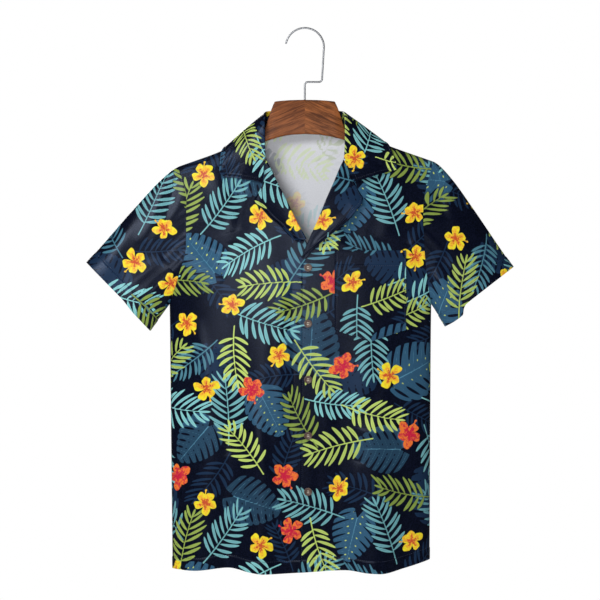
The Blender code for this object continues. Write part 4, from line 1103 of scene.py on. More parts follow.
def add_cloth(node, grid, across, along, outward):
    """Thin shell of cloth whose outer side is the grid, in place of a node.

    The inner side lies behind it, on every second row and column, and a rim
    joins their edges. across and along are its points' places on the flat
    cloth.
    """
    facts = CLOTH[node]
    closed = node.startswith("sleeve")
    normal = surface_normals(grid, closed)
    flip = np.dot(normal[grid.shape[0] // 2, grid.shape[1] // 2], outward) < 0
    if flip:
        normal = -normal
    outer = grid
    for edge in facts["turned"]:
        outer = turned_edge(outer, normal, *edge)
    inner = (outer - normal * bpy.context.scene.shirt_cloth.thickness / MM)[::2, ::2]
    count = outer[..., 0].size
    numbers = [np.arange(side[..., 0].size).reshape(side.shape[:2]) for side in (outer, inner)]
    if closed:
        numbers = [joined(number) for number in numbers]
    o, i = numbers
    rims = [rim(o[0], i[0], count), rim(o[-1], i[-1], count)[:, ::-1]]
    if not closed:
        rims += [rim(o[:, 0], i[:, 0], count)[:, ::-1], rim(o[:, -1], i[:, -1], count)]
    faces = [
        quads(*outer.shape[:2], closed),
        quads(*inner.shape[:2], closed)[:, ::-1] + count,
        np.concatenate(rims)]
    groups = np.repeat([0, 1, 0], [len(f) for f in faces])
    if flip:
        faces = [f[:, ::-1] for f in faces]
    points = np.concatenate([outer.reshape(-1, 3), inner.reshape(-1, 3)])
    cut = np.stack([across + facts["cut"][0], along + facts["cut"][1]], axis=-1)
    flat = np.concatenate([cut.reshape(-1, 2), cut[::2, ::2].reshape(-1, 2)])
    piece = add_piece(
        node + "_cloth", points, faces, MADE["cloth"], "printed_viscose", node, uv=flat * MM,
        values=print_layers(flat[:, 0], flat[:, 1], MADE["laid"]), groups=groups)
    MADE[node] = (outer, normal)


def parallel(grid, axis, from_end, distance):
    """Line on a grid's surface at a distance from one of its edges."""
    if from_end:
        grid = np.flip(grid, axis)
    walked = lengths(grid, axis)
    after = np.maximum(np.argmax(walked >= distance, axis=axis), 1)
    index = np.expand_dims(after, axis)
    low = np.take_along_axis(walked, index - 1, axis)
    high = np.take_along_axis(walked, index, axis)
    share = ((distance - low) / np.maximum(high - low, 1e-6))[..., None]
    before_point = np.take_along_axis(grid, index[..., None] - 1, axis)
    after_point = np.take_along_axis(grid, index[..., None], axis)
    return (before_point * (1 - share) + after_point * share).squeeze(axis)


def sew(name, lines, finish):
    """Rows of raised stitches along lines of points on the cloth.

    Each line is (points, normals, trim at its start, trim at its end). A
    stitch is a six-sided bead, pointed at both ends, that stands out of the
    cloth along the normal.
    """
    beads = []
    for points, normals, trim_start, trim_end in lines:
        length = distances(points)
        at = np.arange(trim_start + STITCH / 2, length[-1] - trim_end, STITCH + STITCH_GAP)
        middle = at_distances(points, length, at)
        ahead = at_distances(points, length, at + 0.5)
        way = unit(ahead - at_distances(points, length, at - 0.5))
        up = unit(at_distances(normals, length, at))
        across = np.cross(up, way)
        beads.append(
            middle[:, None] + way[:, None] * (STITCH_BEAD["way"] * STITCH)[:, None]
            + across[:, None] * STITCH_BEAD["across"][:, None]
            + up[:, None] * STITCH_BEAD["up"][:, None])
    beads = np.concatenate(beads)
    triangles = np.array([
        (0, 2, 1), (0, 3, 2), (0, 4, 3), (0, 1, 4), (9, 5, 6), (9, 6, 7), (9, 7, 8), (9, 8, 5)])
    sides = np.array([(1, 2, 6, 5), (2, 3, 7, 6), (3, 4, 8, 7), (4, 1, 5, 8)])
    start = (np.arange(len(beads)) * len(STITCH_BEAD["up"]))[:, None, None]
    faces = [(start + triangles).reshape(-1, 3), (start + sides).reshape(-1, 4)]
    add_piece(name, beads.reshape(-1, 3), faces, [finish], "printed_viscose")


def tube_points(path, across, lift, radius, sides):
    """Rings of points round a path; across and lift span each ring's plane."""
    turn = np.linspace(0, math.tau, sides, endpoint=False)
    return (path[:, None] + radius[:, None, None] * (
        across[:, None] * np.cos(turn)[:, None] + lift[:, None] * np.sin(turn)[:, None]))


def capped_tube(name, rings, finish, slot, node=None):
    """Closed tube from rings of points, its ends fans round their middles."""
    count, sides = rings.shape[:2]
    points = np.concatenate([
        rings.reshape(-1, 3), rings[:1].mean(axis=1), rings[-1:].mean(axis=1)])
    number = np.arange(sides)
    after = (number + 1) % sides
    base = (count - 1) * sides
    faces = [
        quads(count, sides, closed=True),
        np.stack([after, number, np.full(sides, count * sides)], -1),
        np.stack([base + number, base + after, np.full(sides, count * sides + 1)], -1)]
    normal = np.cross(rings[0, 1] - rings[0, 0], rings[1, 0] - rings[0, 0])
    if np.dot(normal, rings[0, 0] - rings[0].mean(axis=0)) < 0:
        faces = [f[:, ::-1] for f in faces]
    add_piece(name, points, faces, [finish], slot, node)


# ---------------------------------------------------------------- finishes

def linear(hex_colour):
    """Linear red, green and blue of an sRGB hex value."""
    channels = [int(hex_colour[i:i + 2], 16) / 255 for i in (1, 3, 5)]
    return tuple(c / 12.92 if c <= 0.04045 else ((c + 0.055) / 1.055) ** 2.4 for c in channels)


def feed(tree, node, inputs):
    """Sets inputs, by name or number, to values or to other nodes' outputs."""
    for key, value in inputs.items():
        socket = node.inputs[key]
        if isinstance(value, bpy.types.NodeSocket):
            tree.links.new(value, socket)
        elif socket.type == "RGBA":
            socket.default_value = (*value, 1.0)
        else:
            socket.default_value = value


def add_node(tree, kind, output, inputs=None, **settings):
    """Adds a shader node with its settings and inputs; returns one of its outputs."""
    node = tree.nodes.new("ShaderNode" + kind)
    for key, value in settings.items():
        setattr(node, key, value)
    feed(tree, node, inputs or {})
    return node.outputs[output]


def cells(*sizes):
    """Scale of a pattern whose cells have sizes in mm: as many as fit in a metre."""
    scales = tuple(1 / (size * MM) for size in sizes)
    return scales if len(scales) > 1 else scales[0]


def new_finish(name):
    """Material, its node tree, its shader and the piece's own coordinates."""
    finish = bpy.data.materials.new(name)
    finish.use_nodes = True
    tree = finish.node_tree
    place = add_node(tree, "TexCoord", "Object")
    return finish, tree, tree.nodes["Principled BSDF"], place


def tint(tree, value, under, over, span, share=(0.0, 1.0)):
    """Lays one colour over another by a value's way over a span.

    The way is eased at both ends, 3 t^2 - 2 t^3, and runs over share.
    """
    way = add_node(tree, "MapRange", "Result", {
        "Value": value, "From Min": span[0], "From Max": span[1],
        "To Min": share[0], "To Max": share[1]}, interpolation_type="SMOOTHSTEP")
    return add_node(tree, "Mix", 2, {0: way, 6: under, 7: over}, data_type="RGBA")


def print_colour(tree, place, cloth, pale=0.0):
    """Colour of the print: each ink where its distance is below nought.

    pale mixes the ground and the inks with the colour of the bare cloth.
    Yarns and small patches waver the ground, and washes and dabs the petals.
    """
    bare_cloth = np.array(cloth.pale)
    edge = cloth.ink_edge

    def ink(name):
        """Colour of an ink, mixed with the bare cloth's by pale."""
        bare = pale + (1 - pale) * 0.5 if pale and name == "ghost" else pale
        return tuple(np.array(getattr(cloth, name)) * (1 - bare) + bare_cloth * bare)

    def lay(name, under, colour, span=(edge, -edge), share=(0.0, 1.0)):
        """Lays a colour over another by a layer's distance."""
        distance = add_node(tree, "Attribute", "Fac", attribute_name=name)
        return tint(tree, distance, under, colour, span, share)

    patch = add_node(tree, "TexNoise", "Fac", {
        "Vector": place, "Scale": cells(GROUND_PATCH), "Detail": 2.0})
    yarn = add_node(tree, "TexNoise", "Fac", {
        "Vector": place, "Scale": cells(YARN), "Detail": 1.0})
    yarn = add_node(tree, "MapRange", "Result", {
        "Value": yarn, "From Min": 0.35, "From Max": 0.65, "To Min": -0.7, "To Max": 0.7},
        interpolation_type="SMOOTHSTEP")
    patch = add_node(
        tree, "Math", 0, {0: yarn, 1: 1.0, 2: patch}, operation="MULTIPLY_ADD", use_clamp=True)
    ground = (ink("ground"), ink("ground_light"))
    if pale:
        ground = (tuple(bare_cloth * 0.82), tuple(bare_cloth * 0.78))
    colour = add_node(
        tree, "Mix", 2, {0: patch, 6: ground[0], 7: ground[1]}, data_type="RGBA")
    colour = lay("ghost", colour, ink("ghost"))
    leaf = lay("tone", ink("slate"), ink("slate_light"), (-1.0, 1.0))
    leaf = lay("rib", leaf, ink("rib"))
    colour = lay("slate", colour, leaf)
    for name in ("teal", "lime"):
        leaf = lay("tone", ink(name), ink(name + "_light"), (-1.0, 1.0))
        leaf = lay(name, leaf, ink(name), (-0.6, -2.4), (0.0, 0.3))
        colour = lay(name, colour, leaf)
    wash = add_node(tree, "TexNoise", "Fac", {
        "Vector": place, "Scale": cells(WASH), "Detail": 3.0, "Roughness": 0.6})
    dabs = add_node(
        tree, "TexNoise", "Fac", {"Vector": place, "Scale": cells(DAB), "Detail": 2.0})
    dabs = add_node(tree, "MapRange", "Result", {
        "Value": dabs, "From Min": 0.35, "From Max": 0.65, "To Min": -0.15, "To Max": 0.15},
        interpolation_type="SMOOTHSTEP")
    core = add_node(tree, "Attribute", "Fac", attribute_name="core")
    core = add_node(tree, "Math", 0, {0: core, 1: dabs}, operation="ADD")
    yellow = tint(tree, wash, ink("yellow"), ink("orange"), (0.5, 0.62), (0.0, 0.6))
    yellow = tint(tree, core, yellow, ink("orange"), (0.72, 0.35), (0.0, 0.6))
    yellow = tint(tree, core, yellow, ink("heart"), (0.38, 0.06), (0.0, 0.95))
    red = tint(tree, wash, ink("coral"), ink("crimson"), (0.49, 0.58), (0.0, 0.9))
    red = tint(tree, core, red, ink("crimson"), (0.5, 0.1))
    kind = add_node(tree, "Attribute", "Fac", attribute_name="kind")
    petal = add_node(tree, "Mix", 2, {0: kind, 6: yellow, 7: red}, data_type="RGBA")
    return lay("petal", colour, petal)


def weave(tree, cloth, shader, strength):
    """Bump of a plain weave on the cloth's own coordinates, and slubs.

    Threads are really about 0.3 mm apart, finer than the render shows, so
    they are drawn at the spacing that the settings give.
    """
    place = add_node(tree, "UVMap", "UV", uv_map="cloth")
    scale = 1.0 / (cloth.thread_spacing * 2 * math.pi / 20)
    bands = [
        add_node(tree, "TexWave", "Fac", {"Vector": place, "Scale": scale / 2, "Distortion": 0.0},
                 wave_type="BANDS", bands_direction=direction)
        for direction in ("X", "Y")]
    both = add_node(tree, "Math", 0, {0: bands[0], 1: bands[1]}, operation="MULTIPLY")
    slub = add_node(
        tree, "TexNoise", "Fac", {"Vector": place, "Scale": cells(SLUB), "Detail": 3.0})
    height = add_node(tree, "Math", 0, {0: slub, 1: 0.8, 2: both}, operation="MULTIPLY_ADD")
    feed(tree, shader, {"Normal": add_node(tree, "Bump", "Normal", {
        "Height": height, "Strength": strength, "Distance": 0.00012})})


def printed_viscose(cloth):
    """Woven viscose, printed: a soft hand and a faint lustre on the dark ground."""
    finish, tree, shader, place = new_finish("printed_woven_viscose")
    feed(tree, shader, {
        "Base Color": print_colour(tree, place, cloth), "Roughness": 0.26,
        "Specular IOR Level": 0.085, "Specular Tint": (0.66, 0.76, 1.0), "Sheen Weight": 0.002,
        "Sheen Roughness": 0.45, "Sheen Tint": (0.82, 0.86, 1.0)})
    weave(tree, cloth, shader, 0.12)
    return finish


def wrong_side(cloth):
    """Unprinted side of the cloth: pale, with the ink just showing through."""
    finish, tree, shader, place = new_finish("viscose_wrong_side")
    feed(tree, shader, {
        "Base Color": print_colour(tree, place, cloth, 1 - cloth.show_through),
        "Roughness": 0.75, "Sheen Weight": 0.1})
    weave(tree, cloth, shader, 0.3)
    return finish


def walnut_wood():
    """Varnished walnut, its halves cut from one board and opened like a book.

    The eye sees streaks about 2 mm wide that slant down from the glued joint,
    fine dark pores along them, a change of tone at the joint, and a satin coat.
    """
    finish, tree, shader, place = new_finish("varnished_walnut")
    x, y, z = [add_node(tree, "SeparateXYZ", axis, {"Vector": place}) for axis in "XYZ"]
    out = add_node(tree, "Math", 0, {0: x}, operation="ABSOLUTE")
    slant = add_node(tree, "Math", 0, {0: out, 1: 0.42, 2: z}, operation="MULTIPLY_ADD")
    other_half = add_node(tree, "MapRange", "Result", {
        "Value": x, "From Min": -0.0003, "From Max": 0.0003, "To Min": 0.0, "To Max": 0.4},
        interpolation_type="SMOOTHSTEP")
    apart = add_node(tree, "Math", 0, {0: y, 1: other_half}, operation="ADD")
    grain = add_node(tree, "CombineXYZ", 0, {"X": slant, "Y": apart, "Z": out})

    def streaks(sizes, detail, waver):
        """Noise drawn out along the grain, its cells of the given sizes."""
        stretched = add_node(tree, "Mapping", 0, {"Vector": grain, "Scale": cells(*sizes)})
        return add_node(tree, "TexNoise", "Fac", {
            "Vector": stretched, "Scale": 1.0, "Detail": detail, "Roughness": 0.62,
            "Distortion": waver})

    rings = streaks(GRAIN, 4.0, 0.7)
    pores = streaks(PORES, 2.0, 0.3)
    colour = tint(tree, rings, linear("#46240f"), linear("#95582f"), (0.3, 0.7))
    colour = tint(tree, pores, colour, linear("#4a2818"), (0.5, 0.68), (0.0, 0.5))
    colour = tint(tree, x, colour, linear("#6b3b24"), (0.0003, -0.0003), (0.0, 0.25))
    feed(tree, shader, {
        "Base Color": colour, "Roughness": 0.5, "Specular IOR Level": 0.1, "Coat Weight": 0.03,
        "Coat Roughness": 0.22, "Normal": add_node(tree, "Bump", "Normal", {
            "Height": pores, "Strength": 0.15, "Distance": 0.0002})})
    return finish


def bright_steel():
    """Drawn steel wire, nickel plated: bright, slightly uneven in tone and gloss."""
    finish, tree, shader, place = new_finish("plated_steel_wire")
    marks = add_node(
        tree, "TexNoise", "Fac", {"Vector": place, "Scale": cells(WIRE_MARK), "Detail": 2.0})
    rough = add_node(tree, "MapRange", "Result", {
        "Value": marks, "From Min": 0.3, "From Max": 0.7, "To Min": 0.36, "To Max": 0.42},
        interpolation_type="SMOOTHSTEP")
    colour = add_node(tree, "Mix", 2, {
        0: marks, 6: linear("#888a8e"), 7: linear("#989a9e")}, data_type="RGBA")
    feed(tree, shader, {"Base Color": colour, "Metallic": 1.0, "Roughness": rough})
    return finish


def coconut_shell():
    """Cut and polished coconut shell: dark brown with short pale fibres."""
    finish, tree, shader, place = new_finish("polished_coconut_shell")
    stretch = add_node(
        tree, "Mapping", "Vector", {"Vector": place, "Scale": cells(*SHELL_FIBRE)})
    fibres = add_node(tree, "TexNoise", "Fac", {"Vector": stretch, "Scale": 1.0, "Detail": 3.0})
    patch = add_node(tree, "TexNoise", "Fac", {"Vector": place, "Scale": cells(SHELL_PATCH)})
    colour = add_node(tree, "Mix", 2, {
        0: patch, 6: linear("#33211a"), 7: linear("#50382c")}, data_type="RGBA")
    colour = tint(tree, fibres, colour, linear("#a98a6c"), (0.6, 0.7), (0.0, 0.6))
    feed(tree, shader, {"Base Color": colour, "Roughness": 0.35})
    return finish


def patchy_finish(name, size, dark, light, roughness):
    """Matt finish with a slight change of tone over patches of a size in mm.

    It serves spun polyester thread, whose tone changes along its length, and
    board painted a matt white.
    """
    finish, tree, shader, place = new_finish(name)
    patch = add_node(tree, "TexNoise", "Fac", {"Vector": place, "Scale": cells(size)})
    colour = add_node(
        tree, "Mix", 2, {0: patch, 6: linear(dark), 7: linear(light)}, data_type="RGBA")
    feed(tree, shader, {"Base Color": colour, "Roughness": roughness})
    return finish, tree, shader


# ---------------------------------------------------------------- settings

def colour_setting(name, hex_colour, description):
    """Colour setting whose default is an sRGB hex value turned to linear."""
    return bpy.props.FloatVectorProperty(
        name=name, description=description, subtype="COLOR", size=3,
        min=0.0, max=1.0, default=linear(hex_colour))


class ShirtCloth(bpy.types.PropertyGroup):
    """Cloth and print of the shirt."""
    thickness: bpy.props.FloatProperty(
        name="Thickness", description="Thickness of the cloth", unit="LENGTH", default=0.00055)
    thread_spacing: bpy.props.FloatProperty(
        name="Thread spacing", description="Spacing at which the weave is drawn",
        unit="LENGTH", default=0.0009)
    print_seed: bpy.props.IntProperty(
        name="Print layout", description="Which layout of the motifs is used", default=PRINT_SEED)
    ink_edge: bpy.props.FloatProperty(
        name="Ink edge", description="Half width in mm of a motif's soft edge", default=0.3)
    show_through: bpy.props.FloatProperty(
        name="Show-through", description="How much ink shows on the wrong side",
        subtype="FACTOR", min=0.0, max=1.0, default=0.5)
    ground: colour_setting("Ground", "#050814", "Dark ground of the print")
    ground_light: colour_setting("Ground, worn", "#0c1020", "Slightly lighter ground")
    ghost: colour_setting("Shadow leaves", "#182a42", "Faint leaves behind the others")
    slate: colour_setting("Split leaves", "#21394d", "Split leaves, darker ones")
    slate_light: colour_setting("Split leaves, light", "#305570", "Split leaves, lighter ones")
    rib: colour_setting("Ribs", "#4d7f98", "Ribs of the split leaves")
    teal: colour_setting("Teal fronds", "#3c687c", "Teal fronds, darker ones")
    teal_light: colour_setting("Teal fronds, light", "#7fbdbe", "Teal fronds, lighter ones")
    lime: colour_setting("Lime fronds", "#7a8e42", "Lime fronds, darker ones")
    lime_light: colour_setting("Lime fronds, light", "#b8cd6c", "Lime fronds, lighter ones")
    yellow: colour_setting("Yellow petals", "#dfd22c", "Petals of the yellow flowers")
    orange: colour_setting(
        "Yellow petals, shade", "#e28c34", "Washed patches on the yellow petals")
    heart: colour_setting(
        "Yellow flowers' hearts", "#b8402c", "Middle of the yellow flowers")
    coral: colour_setting("Red petals", "#dc7030", "Petals of the red flowers")
    crimson: colour_setting("Red flowers' hearts", "#b8203c", "Middle of the red flowers")
    pale: colour_setting("Wrong side", "#e0e2e8", "Unprinted side of the cloth")


class ShirtStage(bpy.types.PropertyGroup):
    """Camera, lights and floor."""
    distance: bpy.props.FloatProperty(
        name="Camera distance", description="From the camera to the hanger's plane",
        unit="LENGTH", default=8.0)
    frame_width: bpy.props.FloatProperty(
        name="Picture width", description="Width that the picture shows at the hanger",
        unit="LENGTH", default=0.972)
    key: bpy.props.FloatProperty(
        name="Key light", description="Power of the large soft light", unit="POWER", default=22.5)
    ambient: bpy.props.FloatProperty(
        name="Ambient", description="Strength of the light from all round", default=0.075)


# Finishes, laid-out print, and each cloth piece's outer points and normals
MADE = {}


# ---------------------------------------------------------------- operators

class SHIRT_OT_finishes(bpy.types.Operator):
    """Makes the finishes and lays out the print"""
    bl_idname = "shirt.finishes"
    bl_label = "Finishes and print"

    def execute(self, context):
        cloth = context.scene.shirt_cloth
        MADE["laid"] = lay_out(cloth.print_seed)
        MADE["cloth"] = [printed_viscose(cloth), wrong_side(cloth)]
        MADE["wood"] = walnut_wood()
        MADE["steel"] = bright_steel()
        MADE["shell"] = coconut_shell()
        MADE["navy_thread"] = patchy_finish(
            "navy_sewing_thread", THREAD_PATCH, "#141a2e", "#26304a", 0.7)[0]
        MADE["pale_thread"] = patchy_finish(
            "pale_sewing_thread", THREAD_PATCH, "#b7aa98", "#dcd2c3", 0.7)[0]
        return {"FINISHED"}


class SHIRT_OT_panels(bpy.types.Operator):
    """Two fronts and the back, hanging from the shoulders"""
    bl_idname = "shirt.panels"
    bl_label = "Fronts and back"

    def execute(self, context):
        for side, out in SIDES.items():
            node = "front_" + side
            grid = front_grid(side, *CLOTH[node]["grid"])
            across = lengths(grid, 1, (0, 0, 1))
            across = grid[:, -1:, 0] + (across[:, -1:] - across) * out
            add_cloth(
                node, grid, across, grid[..., 2], (0, -1, 0))
        rows, columns = CLOTH["back"]["grid"]
        grid = back_grid(rows, columns)
        across = lengths(grid, 1, (0, 0, 1))
        across = across - across[:, columns // 2, None]
        add_cloth(
            "back", grid, -across, grid[..., 2], (0, 1, 0))
        return {"FINISHED"}


class SHIRT_OT_sleeves(bpy.types.Operator):
    """Short sleeves with turned-up cuffs"""
    bl_idname = "shirt.sleeves"
    bl_label = "Sleeves"

    def execute(self, context):
        for side, out in SIDES.items():
            node = "sleeve_" + side
            rings, columns = CLOTH[node]["grid"]
            grid = sleeve_grid(side, rings, columns)
            axis = unit(grid[-1].mean(axis=0) - grid[0].mean(axis=0))
            walked = lengths(joined(grid), 1, axis)
            # The flat sleeve is cut open along the seam under the arm
            front_half = np.arange(columns) <= columns // 2
            across = np.where(front_half, walked[:, :-1], walked[:, :-1] - walked[:, -1:])
            middle = grid[len(grid) // 2]
            outward = middle[columns // 2] - middle.mean(axis=0)
            add_cloth(
                node, grid, across * -out, grid @ -axis, outward)
        return {"FINISHED"}


class SHIRT_OT_collar(bpy.types.Operator):
    """Camp collar, lapels and pocket, laid on the panels"""
    bl_idname = "shirt.collar"
    bl_label = "Collar, lapels and pocket"

    def execute(self, context):
        ahead = (0, -1, 0)
        stations, columns = CLOTH["collar"]["grid"]
        halves = [collar_half(side, stations, columns) for side in SIDES]
        grid = np.concatenate([halves[0], halves[1][-2::-1]])
        # On the flat collar a point lies along the fold by the way walked on it,
        # and off the fold by its own distance square to it
        fold_at = STAND_COLUMNS + FOLD_COLUMNS // 2
        fold = grid[:, fold_at]
        walked = lengths(grid, 0)[:, fold_at]
        way = unit(np.gradient(fold, axis=0))
        beyond = grid - fold[:, None]
        ahead_of = (beyond * way[:, None]).sum(-1)
        off = np.sqrt(np.maximum((beyond ** 2).sum(-1) - ahead_of ** 2, 0))
        off[:, :fold_at] *= -1
        add_cloth(
            "collar", grid, -(walked - walked[stations - 1])[:, None] - ahead_of, -off,
            (0, 1, 0))
        for side in SIDES:
            node = "lapel_" + side
            grid = lapel_grid(side, *CLOTH[node]["grid"])
            add_cloth(
                node, grid, grid[..., 0], grid[..., 2], ahead)
        grid = pocket_grid(*CLOTH["pocket"]["grid"])
        add_cloth(
            "pocket", grid, lengths(grid, 1), grid[..., 2], ahead)
        return {"FINISHED"}


class SHIRT_OT_hanger(bpy.types.Operator):
    """Two book-matched wooden halves"""
    bl_idname = "shirt.hanger"
    bl_label = "Wooden hanger"

    def execute(self, context):
        for side, out in SIDES.items():
            rows = WOOD[side]
            near = np.linspace(0, 1, 90) ** 0.8 * rows["out"][-1]
            slim = step_up(*WOOD_SLIMS, near)
            top = smooth(rows["out"], rows["top"], near)
            bottom = smooth(rows["out"], rows["bottom"], near)
            half_depth = (WOOD_THICK + (ARM_THICK - WOOD_THICK) * slim) / 2
            edge = WOOD_ROUND + (ARM_EDGE - WOOD_ROUND) * slim
            neck, end = ARM_OUT
            far = neck + (end - neck) * np.sin(np.linspace(0, math.pi / 2, 60))
            arm_top = shoulder_line(out * far) - WALL - ARM_GAP
            way = (far - neck) / (end - neck)
            height = ARM_HEIGHT[0] + (ARM_HEIGHT[1] - ARM_HEIGHT[0]) * way
            past = np.maximum((far - end) / ARM_TIP + 1, 0)
            # The end closes like an ellipse, but not quite to a point
            close = np.sqrt(1 - 0.88 * past ** 2)
            at = np.concatenate([near, far])
            middle = np.concatenate([(top + bottom) / 2, arm_top - height / 2])
            half_height = np.concatenate([(top - bottom) / 2, height / 2 * close])
            half_depth = np.append(half_depth, ARM_THICK / 2 * np.maximum(close, ARM_TIP_SLIM))
            edge = np.append(edge, np.full(len(far), ARM_EDGE))
            # No edge is rounder than its section's half width
            edge = np.minimum(edge, np.minimum(half_depth * 0.95, half_height * 0.96))
            turn = np.linspace(0, math.tau, WOOD_SIDES, endpoint=False) + math.pi / WOOD_SIDES
            corner_y = np.sign(np.cos(turn)) * (half_depth - edge)[:, None]
            corner_z = np.sign(np.sin(turn)) * (half_height - edge)[:, None]
            y = corner_y + edge[:, None] * np.cos(turn)
            z = middle[:, None] + corner_z + edge[:, None] * np.sin(turn)
            rings = np.stack([np.broadcast_to(out * at[:, None], y.shape), y, z], axis=-1)
            capped_tube(
                "hanger_wood_" + side, rings, MADE["wood"], "walnut", "hanger_half_" + side)
        return {"FINISHED"}


class SHIRT_OT_hook(bpy.types.Operator):
    """Bent steel wire: bow, straight side, level run and stem"""
    bl_idname = "shirt.hook"
    bl_label = "Hook"

    def execute(self, context):
        def arc(centre_x, centre_z, radius, start, end, count):
            """Points of a circle between two angles, in degrees from +X."""
            turn = np.radians(np.linspace(start, end, count))
            x = centre_x + radius * np.cos(turn)
            return np.stack([x, centre_z + radius * np.sin(turn)], -1)

        bow = arc(0, WIRE / 2 - HOOK_RADIUS, HOOK_RADIUS, HOOK_TIP_ANGLE, 0, 90)
        low = arc(HOOK_LOW_X - HOOK_BEND, HOOK_LOW + HOOK_BEND, HOOK_BEND, 0, -90, 16)
        stem = arc(HOOK_BEND, HOOK_LOW - HOOK_BEND, HOOK_BEND, 90, 180, 16)
        flat = np.concatenate([bow, low, stem, [(0.0, STEM_TOP), (0.0, STEM_END)]])
        path = np.stack([flat[:, 0], np.zeros(len(flat)), flat[:, 1]], axis=-1)
        # The tip is rounded: rings that grow as a circle does, ahead of the bow
        ahead = WIRE / 2 * np.sin(np.linspace(math.pi / 2, 0.1, 6))[:, None]
        tip = path[0] + (path[0] - path[1]) / np.linalg.norm(path[0] - path[1]) * ahead
        path = np.concatenate([tip, path])
        radius = np.full(len(path), WIRE / 2)
        radius[:6] = WIRE / 2 * np.cos(np.linspace(math.pi / 2 * 0.97, 0.1, 6))
        along = unit(np.gradient(path, axis=0))
        lift = np.broadcast_to(np.array([0.0, 1.0, 0.0]), path.shape)
        rings = tube_points(path, unit(np.cross(lift, along)), lift, radius, WIRE_SIDES)
        capped_tube("hook_wire", rings, MADE["steel"], "chromed_steel", "hook")
        return {"FINISHED"}


class SHIRT_OT_buttons(bpy.types.Operator):
    """Five four-hole buttons, sewn on with two bars of thread"""
    bl_idname = "shirt.buttons"
    bl_label = "Buttons"

    def execute(self, context):
        key = np.arange(len(BUTTON_PROFILE["share"]), dtype=float)
        at = np.linspace(0, key[-1], BUTTON_ROWS)
        share = np.interp(at, key, BUTTON_PROFILE["share"])
        turn = np.linspace(0, math.tau, BUTTON_SIDES, endpoint=False)
        x = BUTTON_RADIUS * share[:, None] * np.cos(turn)
        z = BUTTON_RADIUS * share[:, None] * np.sin(turn)
        sunk = np.zeros(x.shape)
        for hole_x, hole_z in itertools.product((-HOLE_SPREAD, HOLE_SPREAD), repeat=2):
            away = np.hypot(x - hole_x, z - hole_z)
            sunk = np.maximum(sunk, HOLE_DEEP * step_up(*HOLE_EDGE, away))
        height = np.interp(at, key, BUTTON_PROFILE["height"])[:, None]
        up = height - np.where((at < BUTTON_FACE)[:, None], sunk, 0)
        ring = np.linspace(0, math.tau, 24)
        way = np.linspace(-1, 1, 9)
        for index in range(BUTTON_COUNT):
            name = "button_%d" % (index + 1)
            middle_z = BUTTON_TOP - BUTTON_SPACING * index
            under = depth(
                BUTTON_X + BUTTON_RADIUS * np.cos(ring),
                middle_z + BUTTON_RADIUS * np.sin(ring), "front")
            seat = max(under.max(), depth(BUTTON_X, middle_z, "front")) + BUTTON_STAND
            points = np.stack([x + BUTTON_X, -(up + seat), z + middle_z], axis=-1)
            add_piece(
                name + "_shell", points.reshape(-1, 3), [quads(*x.shape, closed=True)],
                [MADE["shell"]], "coconut_shell", name)
            # Each bar of thread joins two holes and arches over the face between
            for number, bar_z in enumerate((-HOLE_SPREAD, HOLE_SPREAD)):
                path = np.stack([
                    BUTTON_X + 1.5 * way, -(seat + 1.3 + 1.2 * (1 - way ** 4)),
                    np.full(len(way), middle_z + bar_z)], axis=-1)
                along = unit(np.gradient(path, axis=0))
                across = np.broadcast_to(np.array([0, 0, 1.0]), path.shape)
                bar = tube_points(
                    path, across, np.cross(along, across),
                    np.full(len(way), THREAD_RADIUS), THREAD_SIDES)
                capped_tube(
                    "%s_thread_%d" % (name, number), bar, MADE["pale_thread"], "printed_viscose")
        return {"FINISHED"}


class SHIRT_OT_stitching(bpy.types.Operator):
    """Stitches of the hems, the collar's and lapels' edges, the pocket and the front edge"""
    bl_idname = "shirt.stitching"
    bl_label = "Stitching"

    def execute(self, context):
        for name, seams in SEAMS.items():
            lines = []
            for node, axis, from_end, distance, trim_start, trim_end in seams:
                grid, normal = MADE[node]
                if node.startswith("sleeve"):
                    grid, normal = joined(grid), joined(normal)
                line = parallel(grid, axis, from_end, distance)
                spacing = max(lengths(grid, axis).mean() * 2 / grid.shape[axis], 0.5)
                inset = min(int(round(distance / spacing)), grid.shape[axis] - 1)
                up = np.take(normal, -1 - inset if from_end else inset, axis=axis)
                # The front's edge is sewn only below the point where it folds
                if node == "front_left" and axis == 1:
                    below = grid[:, -1, 2] < V_START - 10
                    line, up = line[below], up[below]
                lines.append((line, up, trim_start, trim_end))
            sew(name, lines, MADE["navy_thread"])
        return {"FINISHED"}


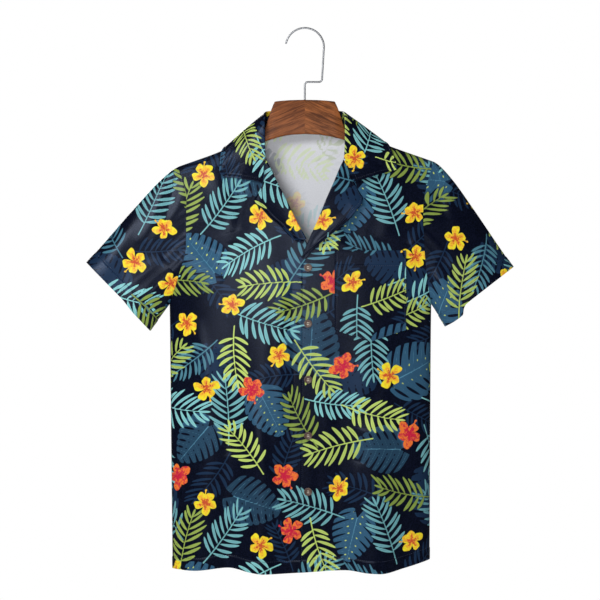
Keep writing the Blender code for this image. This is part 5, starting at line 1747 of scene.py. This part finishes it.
class SHIRT_OT_stage(bpy.types.Operator):
    """Floor, lights, world and camera"""
    bl_idname = "shirt.stage"
    bl_label = "Stage"

    def execute(self, context):
        scene = context.scene
        stage = scene.shirt_stage
        finish, tree, shader = patchy_finish(
            "matt_white_paint", PAINT_PATCH, "#f1f1f2", "#f7f7f8", 0.9)
        feed(tree, shader, {"Emission Color": (1.0, 1.0, 1.0), "Emission Strength": 0.45})
        turn = np.linspace(0, math.tau, 64, endpoint=False)
        points = np.stack([
            FLOOR_RADIUS * np.cos(turn), FLOOR_RADIUS * np.sin(turn),
            np.full(len(turn), FLOOR_Z)], -1)
        mesh_from("floor", points, [np.arange(len(turn))[None, :]], [finish])
        for name, (share, size, place, aim) in LAMPS.items():
            data = bpy.data.lights.new(name, "AREA")
            data.energy = stage.key * share
            data.shape = "RECTANGLE"
            data.size, data.size_y = size
            lamp = bpy.data.objects.new(name, data)
            scene.collection.objects.link(lamp)
            lamp.location = place
            way = np.array(aim) - np.array(place)
            lamp.rotation_euler = (
                math.atan2(math.hypot(way[0], way[1]), -way[2]), 0.0,
                math.atan2(way[1], way[0]) - math.pi / 2)
        world = bpy.data.worlds.new("studio")
        world.use_nodes = True
        scene.world = world
        tree = world.node_tree
        seen = add_node(tree, "LightPath", "Is Camera Ray")
        strength = add_node(
            tree, "MapRange", "Result",
            {"Value": seen, "To Min": stage.ambient, "To Max": 1.0})
        feed(tree, tree.nodes["Background"], {"Strength": strength, "Color": (1.0, 1.0, 1.0)})
        data = bpy.data.cameras.new("camera")
        data.sensor_width = SENSOR
        data.lens = SENSOR * stage.distance / stage.frame_width
        data.clip_end = 100.0
        camera = bpy.data.objects.new("camera", data)
        scene.collection.objects.link(camera)
        camera.location = (CAMERA_X, -stage.distance, CAMERA_Z)
        camera.rotation_euler = (math.pi / 2, 0.0, 0.0)
        bpy.context.scene.camera = camera
        scene.view_settings.view_transform = "Standard"
        scene.view_settings.look = "None"
        return {"FINISHED"}


class SHIRT_PT_panel(bpy.types.Panel):
    """Lists the settings and the pieces"""
    bl_idname = "SHIRT_PT_panel"
    bl_label = "Hawaiian shirt"
    bl_space_type = "VIEW_3D"
    bl_region_type = "UI"
    bl_category = "Shirt"

    def draw(self, context):
        for group in (context.scene.shirt_cloth, context.scene.shirt_stage):
            box = self.layout.box()
            for key in group.__annotations__:
                box.prop(group, key)
        for operator in OPERATORS:
            self.layout.operator(operator.bl_idname)


OPERATORS = (
    SHIRT_OT_finishes, SHIRT_OT_hanger, SHIRT_OT_hook, SHIRT_OT_panels, SHIRT_OT_sleeves,
    SHIRT_OT_collar, SHIRT_OT_stitching, SHIRT_OT_buttons, SHIRT_OT_stage)
CLASSES = (ShirtCloth, ShirtStage, SHIRT_PT_panel) + OPERATORS


def register():
    """Registers the classes and gives the scene their settings."""
    for item in CLASSES:
        bpy.utils.register_class(item)
    bpy.types.Scene.shirt_cloth = bpy.props.PointerProperty(type=ShirtCloth)
    bpy.types.Scene.shirt_stage = bpy.props.PointerProperty(type=ShirtStage)


def unregister():
    """Takes the settings and the classes away again."""
    del bpy.types.Scene.shirt_cloth
    del bpy.types.Scene.shirt_stage
    for item in reversed(CLASSES):
        bpy.utils.unregister_class(item)


def main():
    register()
    bpy.ops.shirt.finishes()
    bpy.ops.shirt.hanger()
    bpy.ops.shirt.hook()
    bpy.ops.shirt.panels()
    bpy.ops.shirt.sleeves()
    bpy.ops.shirt.collar()
    bpy.ops.shirt.stitching()
    bpy.ops.shirt.buttons()
    bpy.ops.shirt.stage()


if __name__ == "__main__":
    main()
